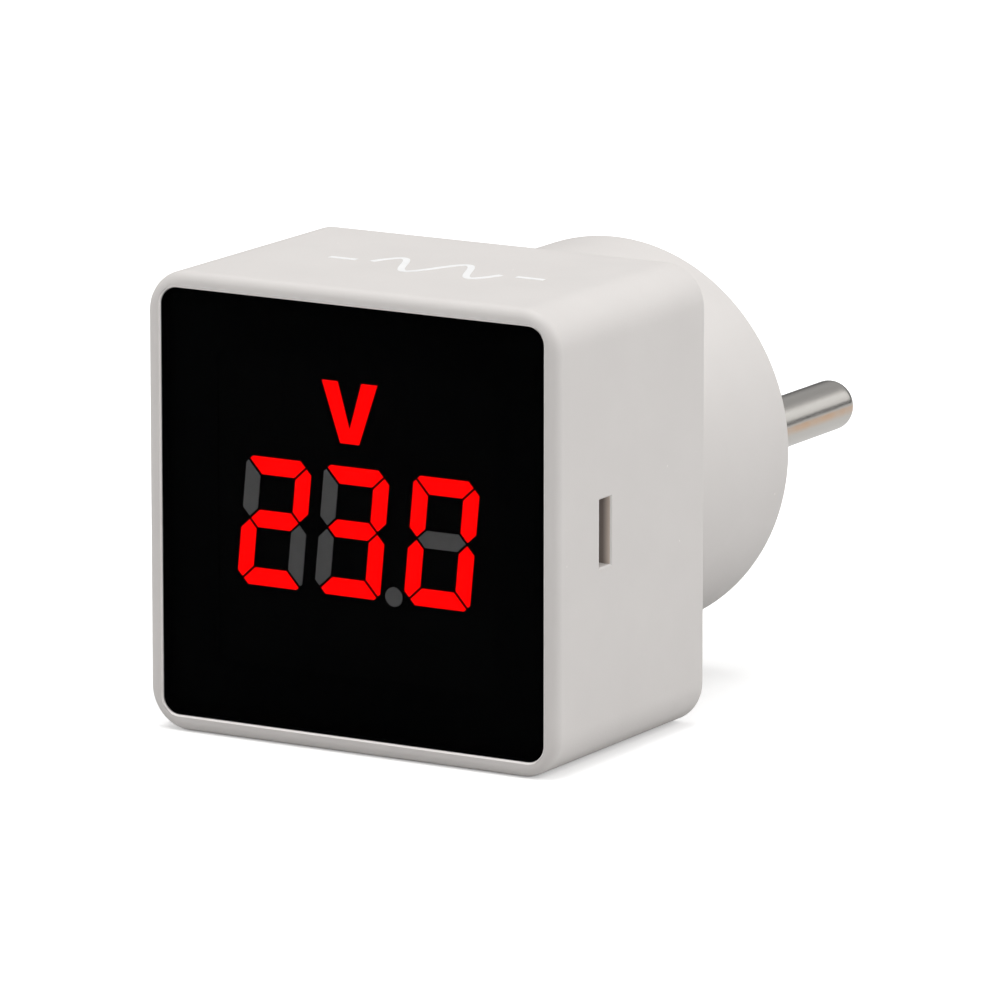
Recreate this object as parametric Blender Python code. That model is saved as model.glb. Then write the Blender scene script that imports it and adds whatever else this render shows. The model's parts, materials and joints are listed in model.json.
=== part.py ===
"""Plug-in mains voltage tester: a square display box on a round two-pin plug.

The origin is the centre of the plug's flat face, between the pins. +Y runs along the pins, away
from the box, +X is to the right of someone reading the display, and +Z is up. Depths are
measured from the front of the box towards the pins.
"""
import math

import bmesh
import bpy
from mathutils import Vector

MM = 0.001
TAU = 2.0 * math.pi

# Plug: two solid round pins on a round collar that fills a recessed wall socket.
PIN_LENGTH = 19.0 * MM
PIN_RADIUS = 2.0 * MM
PIN_SPACING = 19.0 * MM
PIN_TIP_RADIUS = 1.3 * MM
COLLAR_RADIUS = 15.6 * MM
COLLAR_LENGTH = 17.8 * MM
COLLAR_WALL = 2.2 * MM
COLLAR_EDGE = 0.2 * MM
COLLAR_INNER_EDGE = 0.5 * MM
PIN_CLEARANCE = 0.15 * MM
PLUG_FACE_THICKNESS = 2.6 * MM

# Box.
CASE_WIDTH = 36.0 * MM
CASE_HEIGHT = 35.6 * MM
CASE_DEPTH = 22.2 * MM
CASE_WALL = 1.8 * MM
CASE_CORNER = 3.3 * MM
FRONT_FILLET = 0.8 * MM
REAR_CHAMFER = 0.2 * MM
CORNER_POST = 1.6 * MM
BURIED = 0.4 * MM

# Window, in a pocket in the front of the box, over a ledge.
WINDOW_WIDTH = 33.5 * MM
WINDOW_HEIGHT = 33.1 * MM
WINDOW_CORNER = 1.4 * MM
WINDOW_RECESS = 0.1 * MM
WINDOW_THICKNESS = 0.85 * MM
WINDOW_SIDE_GAP = 0.2 * MM
WINDOW_CHAMFER = 0.1 * MM
TAPE_GAP = 0.05 * MM
POCKET_DEPTH = 1.25 * MM
LEDGE_REAR = 2.5 * MM
OPENING_CORNER = 0.8 * MM

# Display module behind the window.
DISPLAY_FACE = 1.1 * MM
DISPLAY_HALF_WIDTH = 12.5 * MM
DISPLAY_HALF_HEIGHT = 12.4 * MM
DISPLAY_DEPTH = 5.0 * MM
DIFFUSER_DEPTH = 3.9 * MM
DIFFUSER_GAP = 0.04 * MM

# Digits: seven segments each, leaning to the right.
DIGIT_HEIGHT = 9.93 * MM
DIGIT_WIDTH = 5.74 * MM
STROKE = 1.32 * MM
SEGMENT_GAP = 0.21 * MM
MIDDLE_BAR_RISE = 0.18 * MM
SHARP_CORNER_CUT = 0.18 * MM
BLUNT_CORNER_CUT = 0.43 * MM
DIGIT_SLANT = math.radians(5.5)
DIGIT_CENTRES = (-7.35 * MM, -0.5 * MM, 7.35 * MM)
DIGIT_CENTRE_HEIGHT = -0.93 * MM
LIT_SEGMENTS = ("abged", "abgcd", "abcdef")
POINT_CENTRE = (3.17 * MM, -5.48 * MM)
POINT_RADIUS = 0.75 * MM
VOLT_CENTRE = -0.68 * MM
VOLT_BOTTOM = 5.83 * MM
VOLT_HEIGHT = 4.67 * MM
VOLT_HALF_WIDTH = 2.41 * MM
VOLT_STROKE = 1.37 * MM
VOLT_FOOT_HALF_WIDTH = 0.81 * MM
VOLT_CROTCH = 1.05 * MM

# Circuit boards.
BOARD_THICKNESS = 1.6 * MM
BOARD_HALF_HEIGHT = 15.5 * MM
DISPLAY_BOARD_DEPTH = 6.4 * MM
POWER_BOARD_DEPTH = 15.4 * MM
POWER_BOARD_HALF_WIDTH = 13.0 * MM
SCREW_RADIUS = 0.7 * MM
SCREW_HEAD_RADIUS = 1.45 * MM
SCREW_HEAD_HEIGHT = 1.0 * MM
SCREW_LENGTH = 4.2 * MM
BOSS_RADIUS = 1.5 * MM
PILOT_RADIUS = 0.85 * MM
CLEARANCE_HOLE_RADIUS = 0.95 * MM
HEADER_HOLE_RADIUS = 0.5 * MM
PART_LIFT = 0.1 * MM
CHIP_HALF = 0.4 * MM
CHIP_HEIGHT = 0.6 * MM
DISPLAY_SCREWS = tuple((sx * 10.5 * MM, sz * 14.1 * MM) for sx in (-1, 1) for sz in (-1, 1))
POWER_POSTS = tuple((sx * 11.4 * MM, sz * 13.2 * MM) for sx in (-1, 1) for sz in (-1, 1))
POWER_SCREWS = (POWER_POSTS[0], POWER_POSTS[3])
HEADER_HEIGHT = 11.0 * MM
HEADER_PITCH = 2.54 * MM
HEADER_PINS = tuple((i - 1.5) * HEADER_PITCH for i in range(4))
HEADER_PIN_HALF = 0.3 * MM

# Snap latches that hold the plug base in the box.
LATCH_PIVOT_X = 15.0 * MM
LATCH_PIVOT_DEPTH = 20.4 * MM
LATCH_THICKNESS = 1.2 * MM
LATCH_HALF_WIDTH = 2.3 * MM
LATCH_TIP_DEPTH = 6.0 * MM
LATCH_CATCH_DEPTH = 7.8 * MM
LATCH_CATCH_X = 16.9 * MM
SLOT_FRONT = 6.27 * MM
SLOT_REAR = 8.0 * MM
SLOT_HALF_HEIGHT = 2.6 * MM

# Plug base: a plate that closes the rear of the box and carries the collar.
PLATE_FRONT = 19.8 * MM
PLATE_REAR = 22.1 * MM
FIT_GAP = 0.3 * MM
LEAD_RADIUS = 0.75 * MM

FRONT_Y = -(CASE_DEPTH + COLLAR_LENGTH)
CORNER_STEPS = 6
CURVE_STEPS = 10

COLOURS = {
    "case_plastic": ((0.66, 0.64, 0.62), 0.55, 0.0),
    "window_tint": ((0.01, 0.01, 0.012), 0.08, 0.0),
    "display_black": ((0.008, 0.008, 0.009), 0.45, 0.0),
    "segment_lit": ((0.9, 0.005, 0.003), 0.35, 0.0),
    "segment_dark": ((0.07, 0.07, 0.07), 0.45, 0.0),
    "pin_nickel": ((0.66, 0.64, 0.61), 0.22, 1.0),
    "board_green": ((0.02, 0.17, 0.06), 0.4, 0.0),
    "chip_black": ((0.02, 0.02, 0.022), 0.5, 0.0),
    "film_yellow": ((0.75, 0.5, 0.06), 0.35, 0.0),
    "sleeve_black": ((0.03, 0.03, 0.04), 0.3, 0.0),
    "disc_blue": ((0.03, 0.12, 0.45), 0.4, 0.0),
    "resistor_green": ((0.16, 0.3, 0.2), 0.5, 0.0),
    "screw_steel": ((0.55, 0.55, 0.56), 0.3, 1.0),
    "contact_brass": ((0.75, 0.58, 0.25), 0.3, 1.0),
    "lead_brown": ((0.2, 0.06, 0.02), 0.5, 0.0),
    "lead_blue": ((0.02, 0.08, 0.4), 0.5, 0.0),
    "tape_black": ((0.015, 0.015, 0.015), 0.8, 0.0),
}


def at_depth(depth):
    """The Y coordinate of a depth behind the front of the box."""
    return FRONT_Y + depth


def clear_scene():
    for item in list(bpy.data.objects):
        bpy.data.objects.remove(item, do_unlink=True)


def finish_material(name):
    """The material of that name, made on first use."""
    found = bpy.data.materials.get(name)
    if found:
        return found
    colour, roughness, metallic = COLOURS[name]
    made = bpy.data.materials.new(name)
    made.use_nodes = True
    shader = made.node_tree.nodes["Principled BSDF"]
    shader.inputs["Base Color"].default_value = (*colour, 1.0)
    shader.inputs["Roughness"].default_value = roughness
    shader.inputs["Metallic"].default_value = metallic
    return made


def add_object(name, shape, material, pivot=(0.0, 0.0, 0.0)):
    """Turn a bmesh into an object whose origin is the pivot."""
    bmesh.ops.recalc_face_normals(shape, faces=shape.faces)
    bmesh.ops.translate(shape, verts=shape.verts, vec=-Vector(pivot))
    mesh = bpy.data.meshes.new(name)
    shape.to_mesh(mesh)
    shape.free()
    mesh.materials.append(finish_material(material))
    mesh.shade_smooth()
    mesh.set_sharp_from_angle(angle=math.radians(35.0))
    item = bpy.data.objects.new(name, mesh)
    item.location = pivot
    bpy.context.scene.collection.objects.link(item)
    return item


def combine(target, shape, operation, label):
    """Join a shape to the target, or cut it away, with a Boolean modifier."""
    tool = add_object(target.name + "_" + label, shape, "case_plastic")
    tool.hide_render = True
    tool.display_type = "WIRE"
    step = target.modifiers.new(label, "BOOLEAN")
    step.operation = operation
    step.solver = "EXACT"
    step.object = tool


def rounded_outline(half_x, half_z, radius):
    """Corner arcs of a rounded rectangle, the same number of points whatever its size."""
    points = []
    for quarter, (sx, sz) in enumerate(((1, 1), (-1, 1), (-1, -1), (1, -1))):
        for step in range(CORNER_STEPS + 1):
            angle = (quarter + step / CORNER_STEPS) * math.pi / 2.0
            x = sx * (half_x - radius) + radius * math.cos(angle)
            z = sz * (half_z - radius) + radius * math.sin(angle)
            points.append((x, z))
    return points


def circle_outline(radius, sides=16, centre=(0.0, 0.0)):
    angles = [TAU * i / sides for i in range(sides)]
    return [(centre[0] + radius * math.cos(a), centre[1] + radius * math.sin(a)) for a in angles]


def box_outline(x0, x1, z0, z1):
    return [(x1, z1), (x0, z1), (x0, z0), (x1, z0)]


def grown_outline(outline, amount):
    """The outline moved outwards by the amount, with its corners kept sharp."""
    grown = []
    count = len(outline)
    for i, here in enumerate(outline):
        corner = Vector(here)
        before = (corner - Vector(outline[i - 1])).normalized()
        after = (Vector(outline[(i + 1) % count]) - corner).normalized()
        normal_before = Vector((before.y, -before.x))
        normal_after = Vector((after.y, -after.x))
        bisector = (normal_before + normal_after).normalized()
        grown.append(tuple(corner + bisector * amount / bisector.dot(normal_after)))
    return grown


def loft(shape, rings, ring_of_rings=False):
    """Skin a row of equal rings, given as (outline, y), capped or closed on itself."""
    rows = [[shape.verts.new((x, y, z)) for x, z in outline] for outline, y in rings]
    followers = rows[1:] + rows[:1] if ring_of_rings else rows[1:]
    for near, far in zip(rows, followers):
        for i in range(len(near)):
            j = (i + 1) % len(near)
            shape.faces.new((near[i], near[j], far[j], far[i]))
    if not ring_of_rings:
        shape.faces.new(rows[0])
        shape.faces.new(rows[-1])


def prism(shape, outline, y0, y1):
    loft(shape, [(outline, y0), (outline, y1)])


def block(shape, low, high):
    prism(shape, box_outline(low[0], high[0], low[2], high[2]), low[1], high[1])


def turned(shape, profile, sides=24, centre=(0.0, 0.0)):
    """Turn a profile of (radius, y) points about a line along Y."""
    loft(shape, [(circle_outline(radius, sides, centre), y) for radius, y in profile])


def arc_profile(radius, y, edge, steps=4):
    """A rounded outer edge of a turned piece, from its side to its end face at y."""
    points = []
    for step in range(steps + 1):
        angle = step / steps * math.pi / 2.0
        points.append((radius - edge + edge * math.cos(angle), y - edge + edge * math.sin(angle)))
    return points


# ---------------------------------------------------------------- box and window

def make_front_case():
    """The box: one shell, open at the rear, with the window's pocket and two latch slots."""
    half_x = CASE_WIDTH / 2.0
    half_z = CASE_HEIGHT / 2.0
    rings = []
    fillet_steps = 4
    for step in range(fillet_steps + 1):
        angle = step / fillet_steps * math.pi / 2.0
        inset = FRONT_FILLET * (1.0 - math.sin(angle))
        depth = FRONT_FILLET * (1.0 - math.cos(angle))
        outline = rounded_outline(half_x - inset, half_z - inset, CASE_CORNER - inset)
        rings.append((outline, at_depth(depth)))
    full = rounded_outline(half_x, half_z, CASE_CORNER)
    rim = rounded_outline(half_x - REAR_CHAMFER, half_z - REAR_CHAMFER, CASE_CORNER - REAR_CHAMFER)
    cavity = rounded_outline(half_x - CASE_WALL, half_z - CASE_WALL, CASE_CORNER - CASE_WALL)
    opening = rounded_outline(DISPLAY_HALF_WIDTH + FIT_GAP, DISPLAY_HALF_HEIGHT + FIT_GAP,
                              OPENING_CORNER)
    pocket = rounded_outline(WINDOW_WIDTH / 2.0, WINDOW_HEIGHT / 2.0, WINDOW_CORNER)
    rings += [(full, at_depth(CASE_DEPTH - REAR_CHAMFER)), (rim, at_depth(CASE_DEPTH))]
    rings += [(cavity, at_depth(CASE_DEPTH)), (cavity, at_depth(LEDGE_REAR))]
    rings += [(opening, at_depth(LEDGE_REAR)), (opening, at_depth(POCKET_DEPTH))]
    rings += [(pocket, at_depth(POCKET_DEPTH)), (pocket, at_depth(0.0))]
    shell = bmesh.new()
    loft(shell, rings, ring_of_rings=True)
    case = add_object("front_case", shell, "case_plastic")

    bosses = bmesh.new()
    boss_top = at_depth(DISPLAY_BOARD_DEPTH - FIT_GAP)
    for centre in DISPLAY_SCREWS:
        prism(bosses, circle_outline(BOSS_RADIUS, 16, centre), at_depth(LEDGE_REAR) - BURIED, boss_top)
    combine(case, bosses, "UNION", "bosses")

    posts = bmesh.new()
    post_end = at_depth(PLATE_FRONT - FIT_GAP)
    outer_x = half_x - CASE_WALL + BURIED
    outer_z = half_z - CASE_WALL + BURIED
    inner_x = half_x - CASE_WALL - CORNER_POST
    inner_z = half_z - CASE_WALL - CORNER_POST
    for sx in (-1, 1):
        for sz in (-1, 1):
            xs = sorted((sx * inner_x, sx * outer_x))
            zs = sorted((sz * inner_z, sz * outer_z))
            block(posts, (xs[0], at_depth(LEDGE_REAR) - BURIED, zs[0]), (xs[1], post_end, zs[1]))
    combine(case, posts, "UNION", "posts")

    cuts = bmesh.new()
    for centre in DISPLAY_SCREWS:
        pilot = circle_outline(PILOT_RADIUS, 12, centre)
        prism(cuts, pilot, boss_top - 2.5 * MM, boss_top + 1.0 * MM)
    for sx in (-1, 1):
        xs = sorted((sx * (half_x - CASE_WALL - 0.5 * MM), sx * (half_x + 1.0 * MM)))
        low = (xs[0], at_depth(SLOT_FRONT), -SLOT_HALF_HEIGHT)
        high = (xs[1], at_depth(SLOT_REAR), SLOT_HALF_HEIGHT)
        block(cuts, low, high)
    combine(case, cuts, "DIFFERENCE", "holes")


def make_window():
    """The smoked acrylic pane, and the tape frame that bonds it to the ledge."""
    half_x = WINDOW_WIDTH / 2.0 - WINDOW_SIDE_GAP
    half_z = WINDOW_HEIGHT / 2.0 - WINDOW_SIDE_GAP
    radius = WINDOW_CORNER - WINDOW_SIDE_GAP
    face = rounded_outline(half_x - WINDOW_CHAMFER, half_z - WINDOW_CHAMFER,
                           radius - WINDOW_CHAMFER)
    side = rounded_outline(half_x, half_z, radius)
    rear = WINDOW_RECESS + WINDOW_THICKNESS
    pane = bmesh.new()
    loft(pane, [(face, at_depth(WINDOW_RECESS)), (side, at_depth(WINDOW_RECESS + WINDOW_CHAMFER)),
                (side, at_depth(rear))])
    add_object("display_window", pane, "window_tint")

    outer = rounded_outline(half_x - WINDOW_SIDE_GAP, half_z - WINDOW_SIDE_GAP, radius - WINDOW_SIDE_GAP)
    opening_x = DISPLAY_HALF_WIDTH + 2.0 * FIT_GAP
    opening_z = DISPLAY_HALF_HEIGHT + 2.0 * FIT_GAP
    inner = rounded_outline(opening_x, opening_z, OPENING_CORNER)
    front = at_depth(rear + TAPE_GAP)
    back = at_depth(POCKET_DEPTH - TAPE_GAP)
    tape = bmesh.new()
    loft(tape, [(outer, front), (outer, back), (inner, back), (inner, front)], ring_of_rings=True)
    add_object("window_tape", tape, "tape_black")


# ---------------------------------------------------------------- display module

def slanted(points, digit_x):
    """Lean upright digit coordinates to the right, about the digit's centre."""
    lean = math.tan(DIGIT_SLANT)
    return [(digit_x + x + z * lean, DIGIT_CENTRE_HEIGHT + z) for x, z in points]


def upright_outline(reach, cut):
    """The left-hand upright of half a digit, from the middle bar up to a cut outer corner."""
    left = -DIGIT_WIDTH / 2.0
    right = left + STROKE
    gap = SEGMENT_GAP / math.sqrt(2.0)
    mitre = gap + STROKE / 2.0
    return [(left + cut, reach - gap - cut), (left, reach - gap - 2.0 * cut), (left, mitre),
            (left + STROKE / 2.0, gap), (right, mitre), (right, reach - gap - STROKE)]


def segment_outlines(digit_x):
    """The seven segments of one digit: mitred bars, two of the outer corners cut off more."""
    w = DIGIT_WIDTH / 2.0
    h = DIGIT_HEIGHT / 2.0
    s = STROKE
    half = s / 2.0
    gap = SEGMENT_GAP / math.sqrt(2.0)
    rise = MIDDLE_BAR_RISE
    sharp = SHARP_CORNER_CUT
    blunt = BLUNT_CORNER_CUT
    top = [(-w + gap + sharp, h - sharp), (-w + gap + 2.0 * sharp, h), (w - gap - 2.0 * blunt, h),
           (w - gap - blunt, h - blunt), (w - gap - s, h - s), (-w + gap + s, h - s)]
    middle = [(-w + gap + half, rise), (-w + gap + s, rise + half), (w - gap - s, rise + half),
              (w - gap - half, rise), (w - gap - s, rise - half), (-w + gap + s, rise - half)]
    shapes = {
        "a": top,
        "b": [(-x, rise + z) for x, z in upright_outline(h - rise, blunt)],
        "c": [(-x, rise - z) for x, z in upright_outline(h + rise, sharp)],
        "d": [(-x, -z) for x, z in top],
        "e": [(x, rise - z) for x, z in upright_outline(h + rise, blunt)],
        "f": [(x, rise + z) for x, z in upright_outline(h - rise, sharp)],
        "g": middle,
    }
    return {letter: slanted(points, digit_x) for letter, points in shapes.items()}


def volt_outline():
    """The block letter for volts, the unit sign above the digits."""
    top = VOLT_BOTTOM + VOLT_HEIGHT
    inner = VOLT_HALF_WIDTH - VOLT_STROKE
    points = [(VOLT_HALF_WIDTH, top), (inner, top), (0.0, VOLT_BOTTOM + VOLT_CROTCH),
              (-inner, top), (-VOLT_HALF_WIDTH, top), (-VOLT_FOOT_HALF_WIDTH, VOLT_BOTTOM),
              (VOLT_FOOT_HALF_WIDTH, VOLT_BOTTOM)]
    return [(VOLT_CENTRE + x, z) for x, z in points]


def wound_left(outline):
    """The outline in anticlockwise order."""
    area = 0.0
    for i, (x, z) in enumerate(outline):
        before = outline[i - 1]
        area += before[0] * z - x * before[1]
    return outline if area > 0.0 else outline[::-1]


def diffuser_outlines():
    """Every light diffuser as name: (outline, lit)."""
    pieces = {}
    for number, (digit_x, lit) in enumerate(zip(DIGIT_CENTRES, LIT_SEGMENTS), start=1):
        for letter, outline in segment_outlines(digit_x).items():
            pieces["segment_%d%s" % (number, letter)] = (wound_left(outline), letter in lit)
    pieces["decimal_point"] = (circle_outline(POINT_RADIUS, 20, POINT_CENTRE), False)
    pieces["volt_sign"] = (wound_left(volt_outline()), True)
    return pieces


def make_display_module(pieces):
    """The black housing with a light well for each diffuser, and the diffusers in the wells."""
    face = at_depth(DISPLAY_FACE)
    back = at_depth(DISPLAY_FACE + DISPLAY_DEPTH)
    body = bmesh.new()
    prism(body, rounded_outline(DISPLAY_HALF_WIDTH, DISPLAY_HALF_HEIGHT, 0.4 * MM), face, back)
    housing = add_object("display_housing", body, "display_black")
    wells = bmesh.new()
    for outline, _lit in pieces.values():
        prism(wells, grown_outline(outline, DIFFUSER_GAP), face - 1.0 * MM, back + 1.0 * MM)
    combine(housing, wells, "DIFFERENCE", "wells")
    for name, (outline, lit) in pieces.items():
        diffuser = bmesh.new()
        prism(diffuser, outline, face, face + DIFFUSER_DEPTH)
        add_object(name, diffuser, "segment_lit" if lit else "segment_dark")


# ---------------------------------------------------------------- boards and parts

def chip_place(name, outline):
    """Where the light-emitting chip of a diffuser stands: its middle, or the foot of the letter."""
    if name == "volt_sign":
        return VOLT_CENTRE, VOLT_BOTTOM + VOLT_CROTCH / 2.0
    x = sum(point[0] for point in outline) / len(outline)
    z = sum(point[1] for point in outline) / len(outline)
    return x, z


def make_display_board(pieces):
    """The front board, with one light-emitting chip standing in each well."""
    front = at_depth(DISPLAY_BOARD_DEPTH)
    body = bmesh.new()
    block(body, (-DISPLAY_HALF_WIDTH, front, -BOARD_HALF_HEIGHT),
          (DISPLAY_HALF_WIDTH, front + BOARD_THICKNESS, BOARD_HALF_HEIGHT))
    board = add_object("display_board", body, "board_green")
    chips = bmesh.new()
    for name, (outline, _lit) in pieces.items():
        x, z = chip_place(name, outline)
        block(chips, (x - CHIP_HALF, front - CHIP_HEIGHT, z - CHIP_HALF),
              (x + CHIP_HALF, front + CHIP_HEIGHT / 3.0, z + CHIP_HALF))
    combine(board, chips, "UNION", "chips")
    cuts = bmesh.new()
    for centre in DISPLAY_SCREWS:
        hole = circle_outline(CLEARANCE_HOLE_RADIUS, 12, centre)
        prism(cuts, hole, front - 1.0 * MM, front + 3.0 * MM)
    for x in HEADER_PINS:
        hole = circle_outline(HEADER_HOLE_RADIUS, 8, (x, HEADER_HEIGHT))
        prism(cuts, hole, front - 1.0 * MM, front + 3.0 * MM)
    combine(board, cuts, "DIFFERENCE", "holes")


def make_power_board():
    front = at_depth(POWER_BOARD_DEPTH)
    body = bmesh.new()
    block(body, (-POWER_BOARD_HALF_WIDTH, front, -BOARD_HALF_HEIGHT),
          (POWER_BOARD_HALF_WIDTH, front + BOARD_THICKNESS, BOARD_HALF_HEIGHT))
    board = add_object("power_board", body, "board_green")
    cuts = bmesh.new()
    for centre in POWER_SCREWS:
        hole = circle_outline(CLEARANCE_HOLE_RADIUS, 12, centre)
        prism(cuts, hole, front - 1.0 * MM, front + 3.0 * MM)
    for x in HEADER_PINS:
        hole = circle_outline(HEADER_HOLE_RADIUS, 8, (x, HEADER_HEIGHT))
        prism(cuts, hole, front - 1.0 * MM, front + 3.0 * MM)
    combine(board, cuts, "DIFFERENCE", "holes")


def make_screw(name, centre, seat_y, direction):
    """A pan-head screw; direction is +1 when it is driven towards +Y."""
    def y(distance):
        return seat_y + direction * distance

    body = bmesh.new()
    head = [(SCREW_HEAD_RADIUS * 0.8, y(-SCREW_HEAD_HEIGHT)), (SCREW_HEAD_RADIUS, y(-0.6 * MM)),
            (SCREW_HEAD_RADIUS, y(0.0)), (SCREW_RADIUS, y(0.0))]
    shank = [(SCREW_RADIUS, y(SCREW_LENGTH - 0.6 * MM)), (SCREW_RADIUS * 0.4, y(SCREW_LENGTH))]
    turned(body, head + shank, 14, centre)
    screw = add_object(name, body, "screw_steel")
    recess = bmesh.new()
    arm = 0.8 * MM
    half = 0.15 * MM
    cross = []
    for quarter in range(4):
        cos = round(math.cos(quarter * math.pi / 2.0))
        sin = round(math.sin(quarter * math.pi / 2.0))
        for px, pz in ((half, half), (half, arm), (-half, arm)):
            cross.append((centre[0] + px * cos - pz * sin, centre[1] + px * sin + pz * cos))
    ends = sorted((y(-SCREW_HEAD_HEIGHT - 0.5 * MM), y(-SCREW_HEAD_HEIGHT + 0.45 * MM)))
    prism(recess, cross, ends[0], ends[1])
    combine(screw, recess, "DIFFERENCE", "recess")


def make_screws():
    display_seat = at_depth(DISPLAY_BOARD_DEPTH + BOARD_THICKNESS) + PART_LIFT
    for number, centre in enumerate(DISPLAY_SCREWS, start=1):
        make_screw("display_screw_%d" % number, centre, display_seat, -1)
    power_seat = at_depth(POWER_BOARD_DEPTH) - PART_LIFT
    for number, centre in enumerate(POWER_SCREWS, start=1):
        make_screw("power_screw_%d" % number, centre, power_seat, 1)


def make_header():
    """The four-way pin header that joins the two boards."""
    strip_front = at_depth(DISPLAY_BOARD_DEPTH + BOARD_THICKNESS + 0.1 * MM)
    strip_rear = strip_front + 2.5 * MM
    half_length = 2.0 * HEADER_PITCH
    half = 1.25 * MM
    body = bmesh.new()
    block(body, (-half_length, strip_front, HEADER_HEIGHT - half),
          (half_length, strip_rear, HEADER_HEIGHT + half))
    strip = add_object("header_strip", body, "chip_black")
    bores = bmesh.new()
    for x in HEADER_PINS:
        bore = circle_outline(HEADER_HOLE_RADIUS, 8, (x, HEADER_HEIGHT))
        prism(bores, bore, strip_front - 1.0 * MM, strip_rear + 1.0 * MM)
    combine(strip, bores, "DIFFERENCE", "bores")
    pin_front = at_depth(DISPLAY_BOARD_DEPTH + 0.1 * MM)
    pin_rear = at_depth(POWER_BOARD_DEPTH + BOARD_THICKNESS + 0.9 * MM)
    for number, x in enumerate(HEADER_PINS, start=1):
        pin = bmesh.new()
        block(pin, (x - HEADER_PIN_HALF, pin_front, HEADER_HEIGHT - HEADER_PIN_HALF),
              (x + HEADER_PIN_HALF, pin_rear, HEADER_HEIGHT + HEADER_PIN_HALF))
        add_object("header_pin_%d" % number, pin, "contact_brass")


def make_chip(name, centre, size, seat_y, direction, legs):
    """A moulded chip with gull legs along its two long sides; direction points off the board."""
    half_x = size[0] / 2.0
    half_z = size[2] / 2.0
    ends = sorted((seat_y + direction * 0.15 * MM, seat_y + direction * size[1]))
    body = bmesh.new()
    block(body, (centre[0] - half_x, ends[0], centre[1] - half_z),
          (centre[0] + half_x, ends[1], centre[1] + half_z))
    chip = add_object(name, body, "chip_black")
    pins = bmesh.new()
    reach = 0.9 * MM
    pitch = size[0] / legs
    foot = sorted((seat_y + direction * 0.05 * MM, seat_y + direction * 0.35 * MM))
    for side in (-1, 1):
        for i in range(legs):
            x = centre[0] + (i - (legs - 1) / 2.0) * pitch
            zs = sorted((centre[1] + side * (half_z - 0.3 * MM), centre[1] + side * (half_z + reach)))
            block(pins, (x - 0.2 * MM, foot[0], zs[0]), (x + 0.2 * MM, foot[1], zs[1]))
    combine(chip, pins, "UNION", "legs")


def make_film_capacitor(seat_y):
    """The box capacitor that drops the mains voltage."""
    body = bmesh.new()
    half_x = 6.5 * MM
    half_z = 3.0 * MM
    centre_z = 5.6 * MM
    length = 10.5 * MM
    edge = 0.5 * MM
    rings = []
    for inset, y in ((edge, 0.0), (0.0, edge), (0.0, length - edge), (edge, length)):
        outline = rounded_outline(half_x - inset, half_z - inset, 0.6 * MM)
        rings.append(([(x, z + centre_z) for x, z in outline], seat_y + y))
    loft(body, rings)
    add_object("film_capacitor", body, "film_yellow")


def make_electrolytic(seat_y):
    """The smoothing capacitor: a can with the groove rolled round it near its seal."""
    radius = 3.15 * MM
    profile = [(radius - 0.3 * MM, 0.0), (radius, 0.3 * MM), (radius, 1.2 * MM),
               (radius - 0.3 * MM, 1.6 * MM), (radius, 2.0 * MM), (radius, 10.7 * MM),
               (radius - 0.3 * MM, 11.0 * MM)]
    body = bmesh.new()
    points = [(r, seat_y + y) for r, y in profile]
    turned(body, points, 24, (-3.6 * MM, -5.4 * MM))
    add_object("electrolytic_capacitor", body, "sleeve_black")


def make_varistor(seat_y):
    """The surge-absorbing disc, standing on its two legs."""
    radius = 3.5 * MM
    half = 1.6 * MM
    centre = Vector((4.2 * MM, seat_y + 1.6 * MM + radius, -6.2 * MM))
    edge = 0.6 * MM
    body = bmesh.new()
    rings = []
    for offset, inset in ((-half, edge), (-half + edge, 0.0), (half - edge, 0.0), (half, edge)):
        ring = []
        for i in range(24):
            angle = TAU * i / 24
            y = centre.y + (radius - inset) * math.cos(angle)
            z = centre.z + (radius - inset) * math.sin(angle)
            ring.append(body.verts.new((centre.x + offset, y, z)))
        rings.append(ring)
    for near, far in zip(rings, rings[1:]):
        for i in range(24):
            j = (i + 1) % 24
            body.faces.new((near[i], near[j], far[j], far[i]))
    body.faces.new(rings[0])
    body.faces.new(rings[-1])
    disc = add_object("varistor", body, "disc_blue")
    legs = bmesh.new()
    for side in (-1, 1):
        foot = (centre.x + side * 0.5 * MM, centre.z + side * 2.0 * MM)
        prism(legs, circle_outline(0.3 * MM, 8, foot), seat_y, centre.y - 1.5 * MM)
    combine(disc, legs, "UNION", "legs")


def make_fuse_resistor(seat_y):
    """The fusible resistor: a dumb-bell body with a lead out of its board end."""
    r = 1.3 * MM
    profile = [(0.3 * MM, 0.0), (0.3 * MM, 0.9 * MM), (r * 0.8, 1.0 * MM), (r, 1.4 * MM), (r, 2.4 * MM),
               (r * 0.85, 2.9 * MM), (r * 0.85, 6.1 * MM), (r, 6.6 * MM), (r, 7.6 * MM),
               (r * 0.8, 8.0 * MM)]
    body = bmesh.new()
    turned(body, [(radius, seat_y + y) for radius, y in profile], 16, (8.4 * MM, 0.5 * MM))
    add_object("fuse_resistor", body, "resistor_green")


def make_regulator(seat_y):
    """The small moulded regulator, its rounded back towards the display."""
    centre = (5.0 * MM, -4.0 * MM)
    radius = 2.3 * MM
    flat = -1.3 * MM
    start = math.asin(flat / radius)
    steps = 12
    outline = []
    for i in range(steps + 1):
        angle = start + (math.pi - 2.0 * start) * i / steps
        outline.append((centre[0] + radius * math.cos(angle), centre[1] + radius * math.sin(angle)))
    body = bmesh.new()
    prism(body, outline, seat_y - 4.2 * MM, seat_y)
    add_object("regulator", body, "chip_black")


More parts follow.
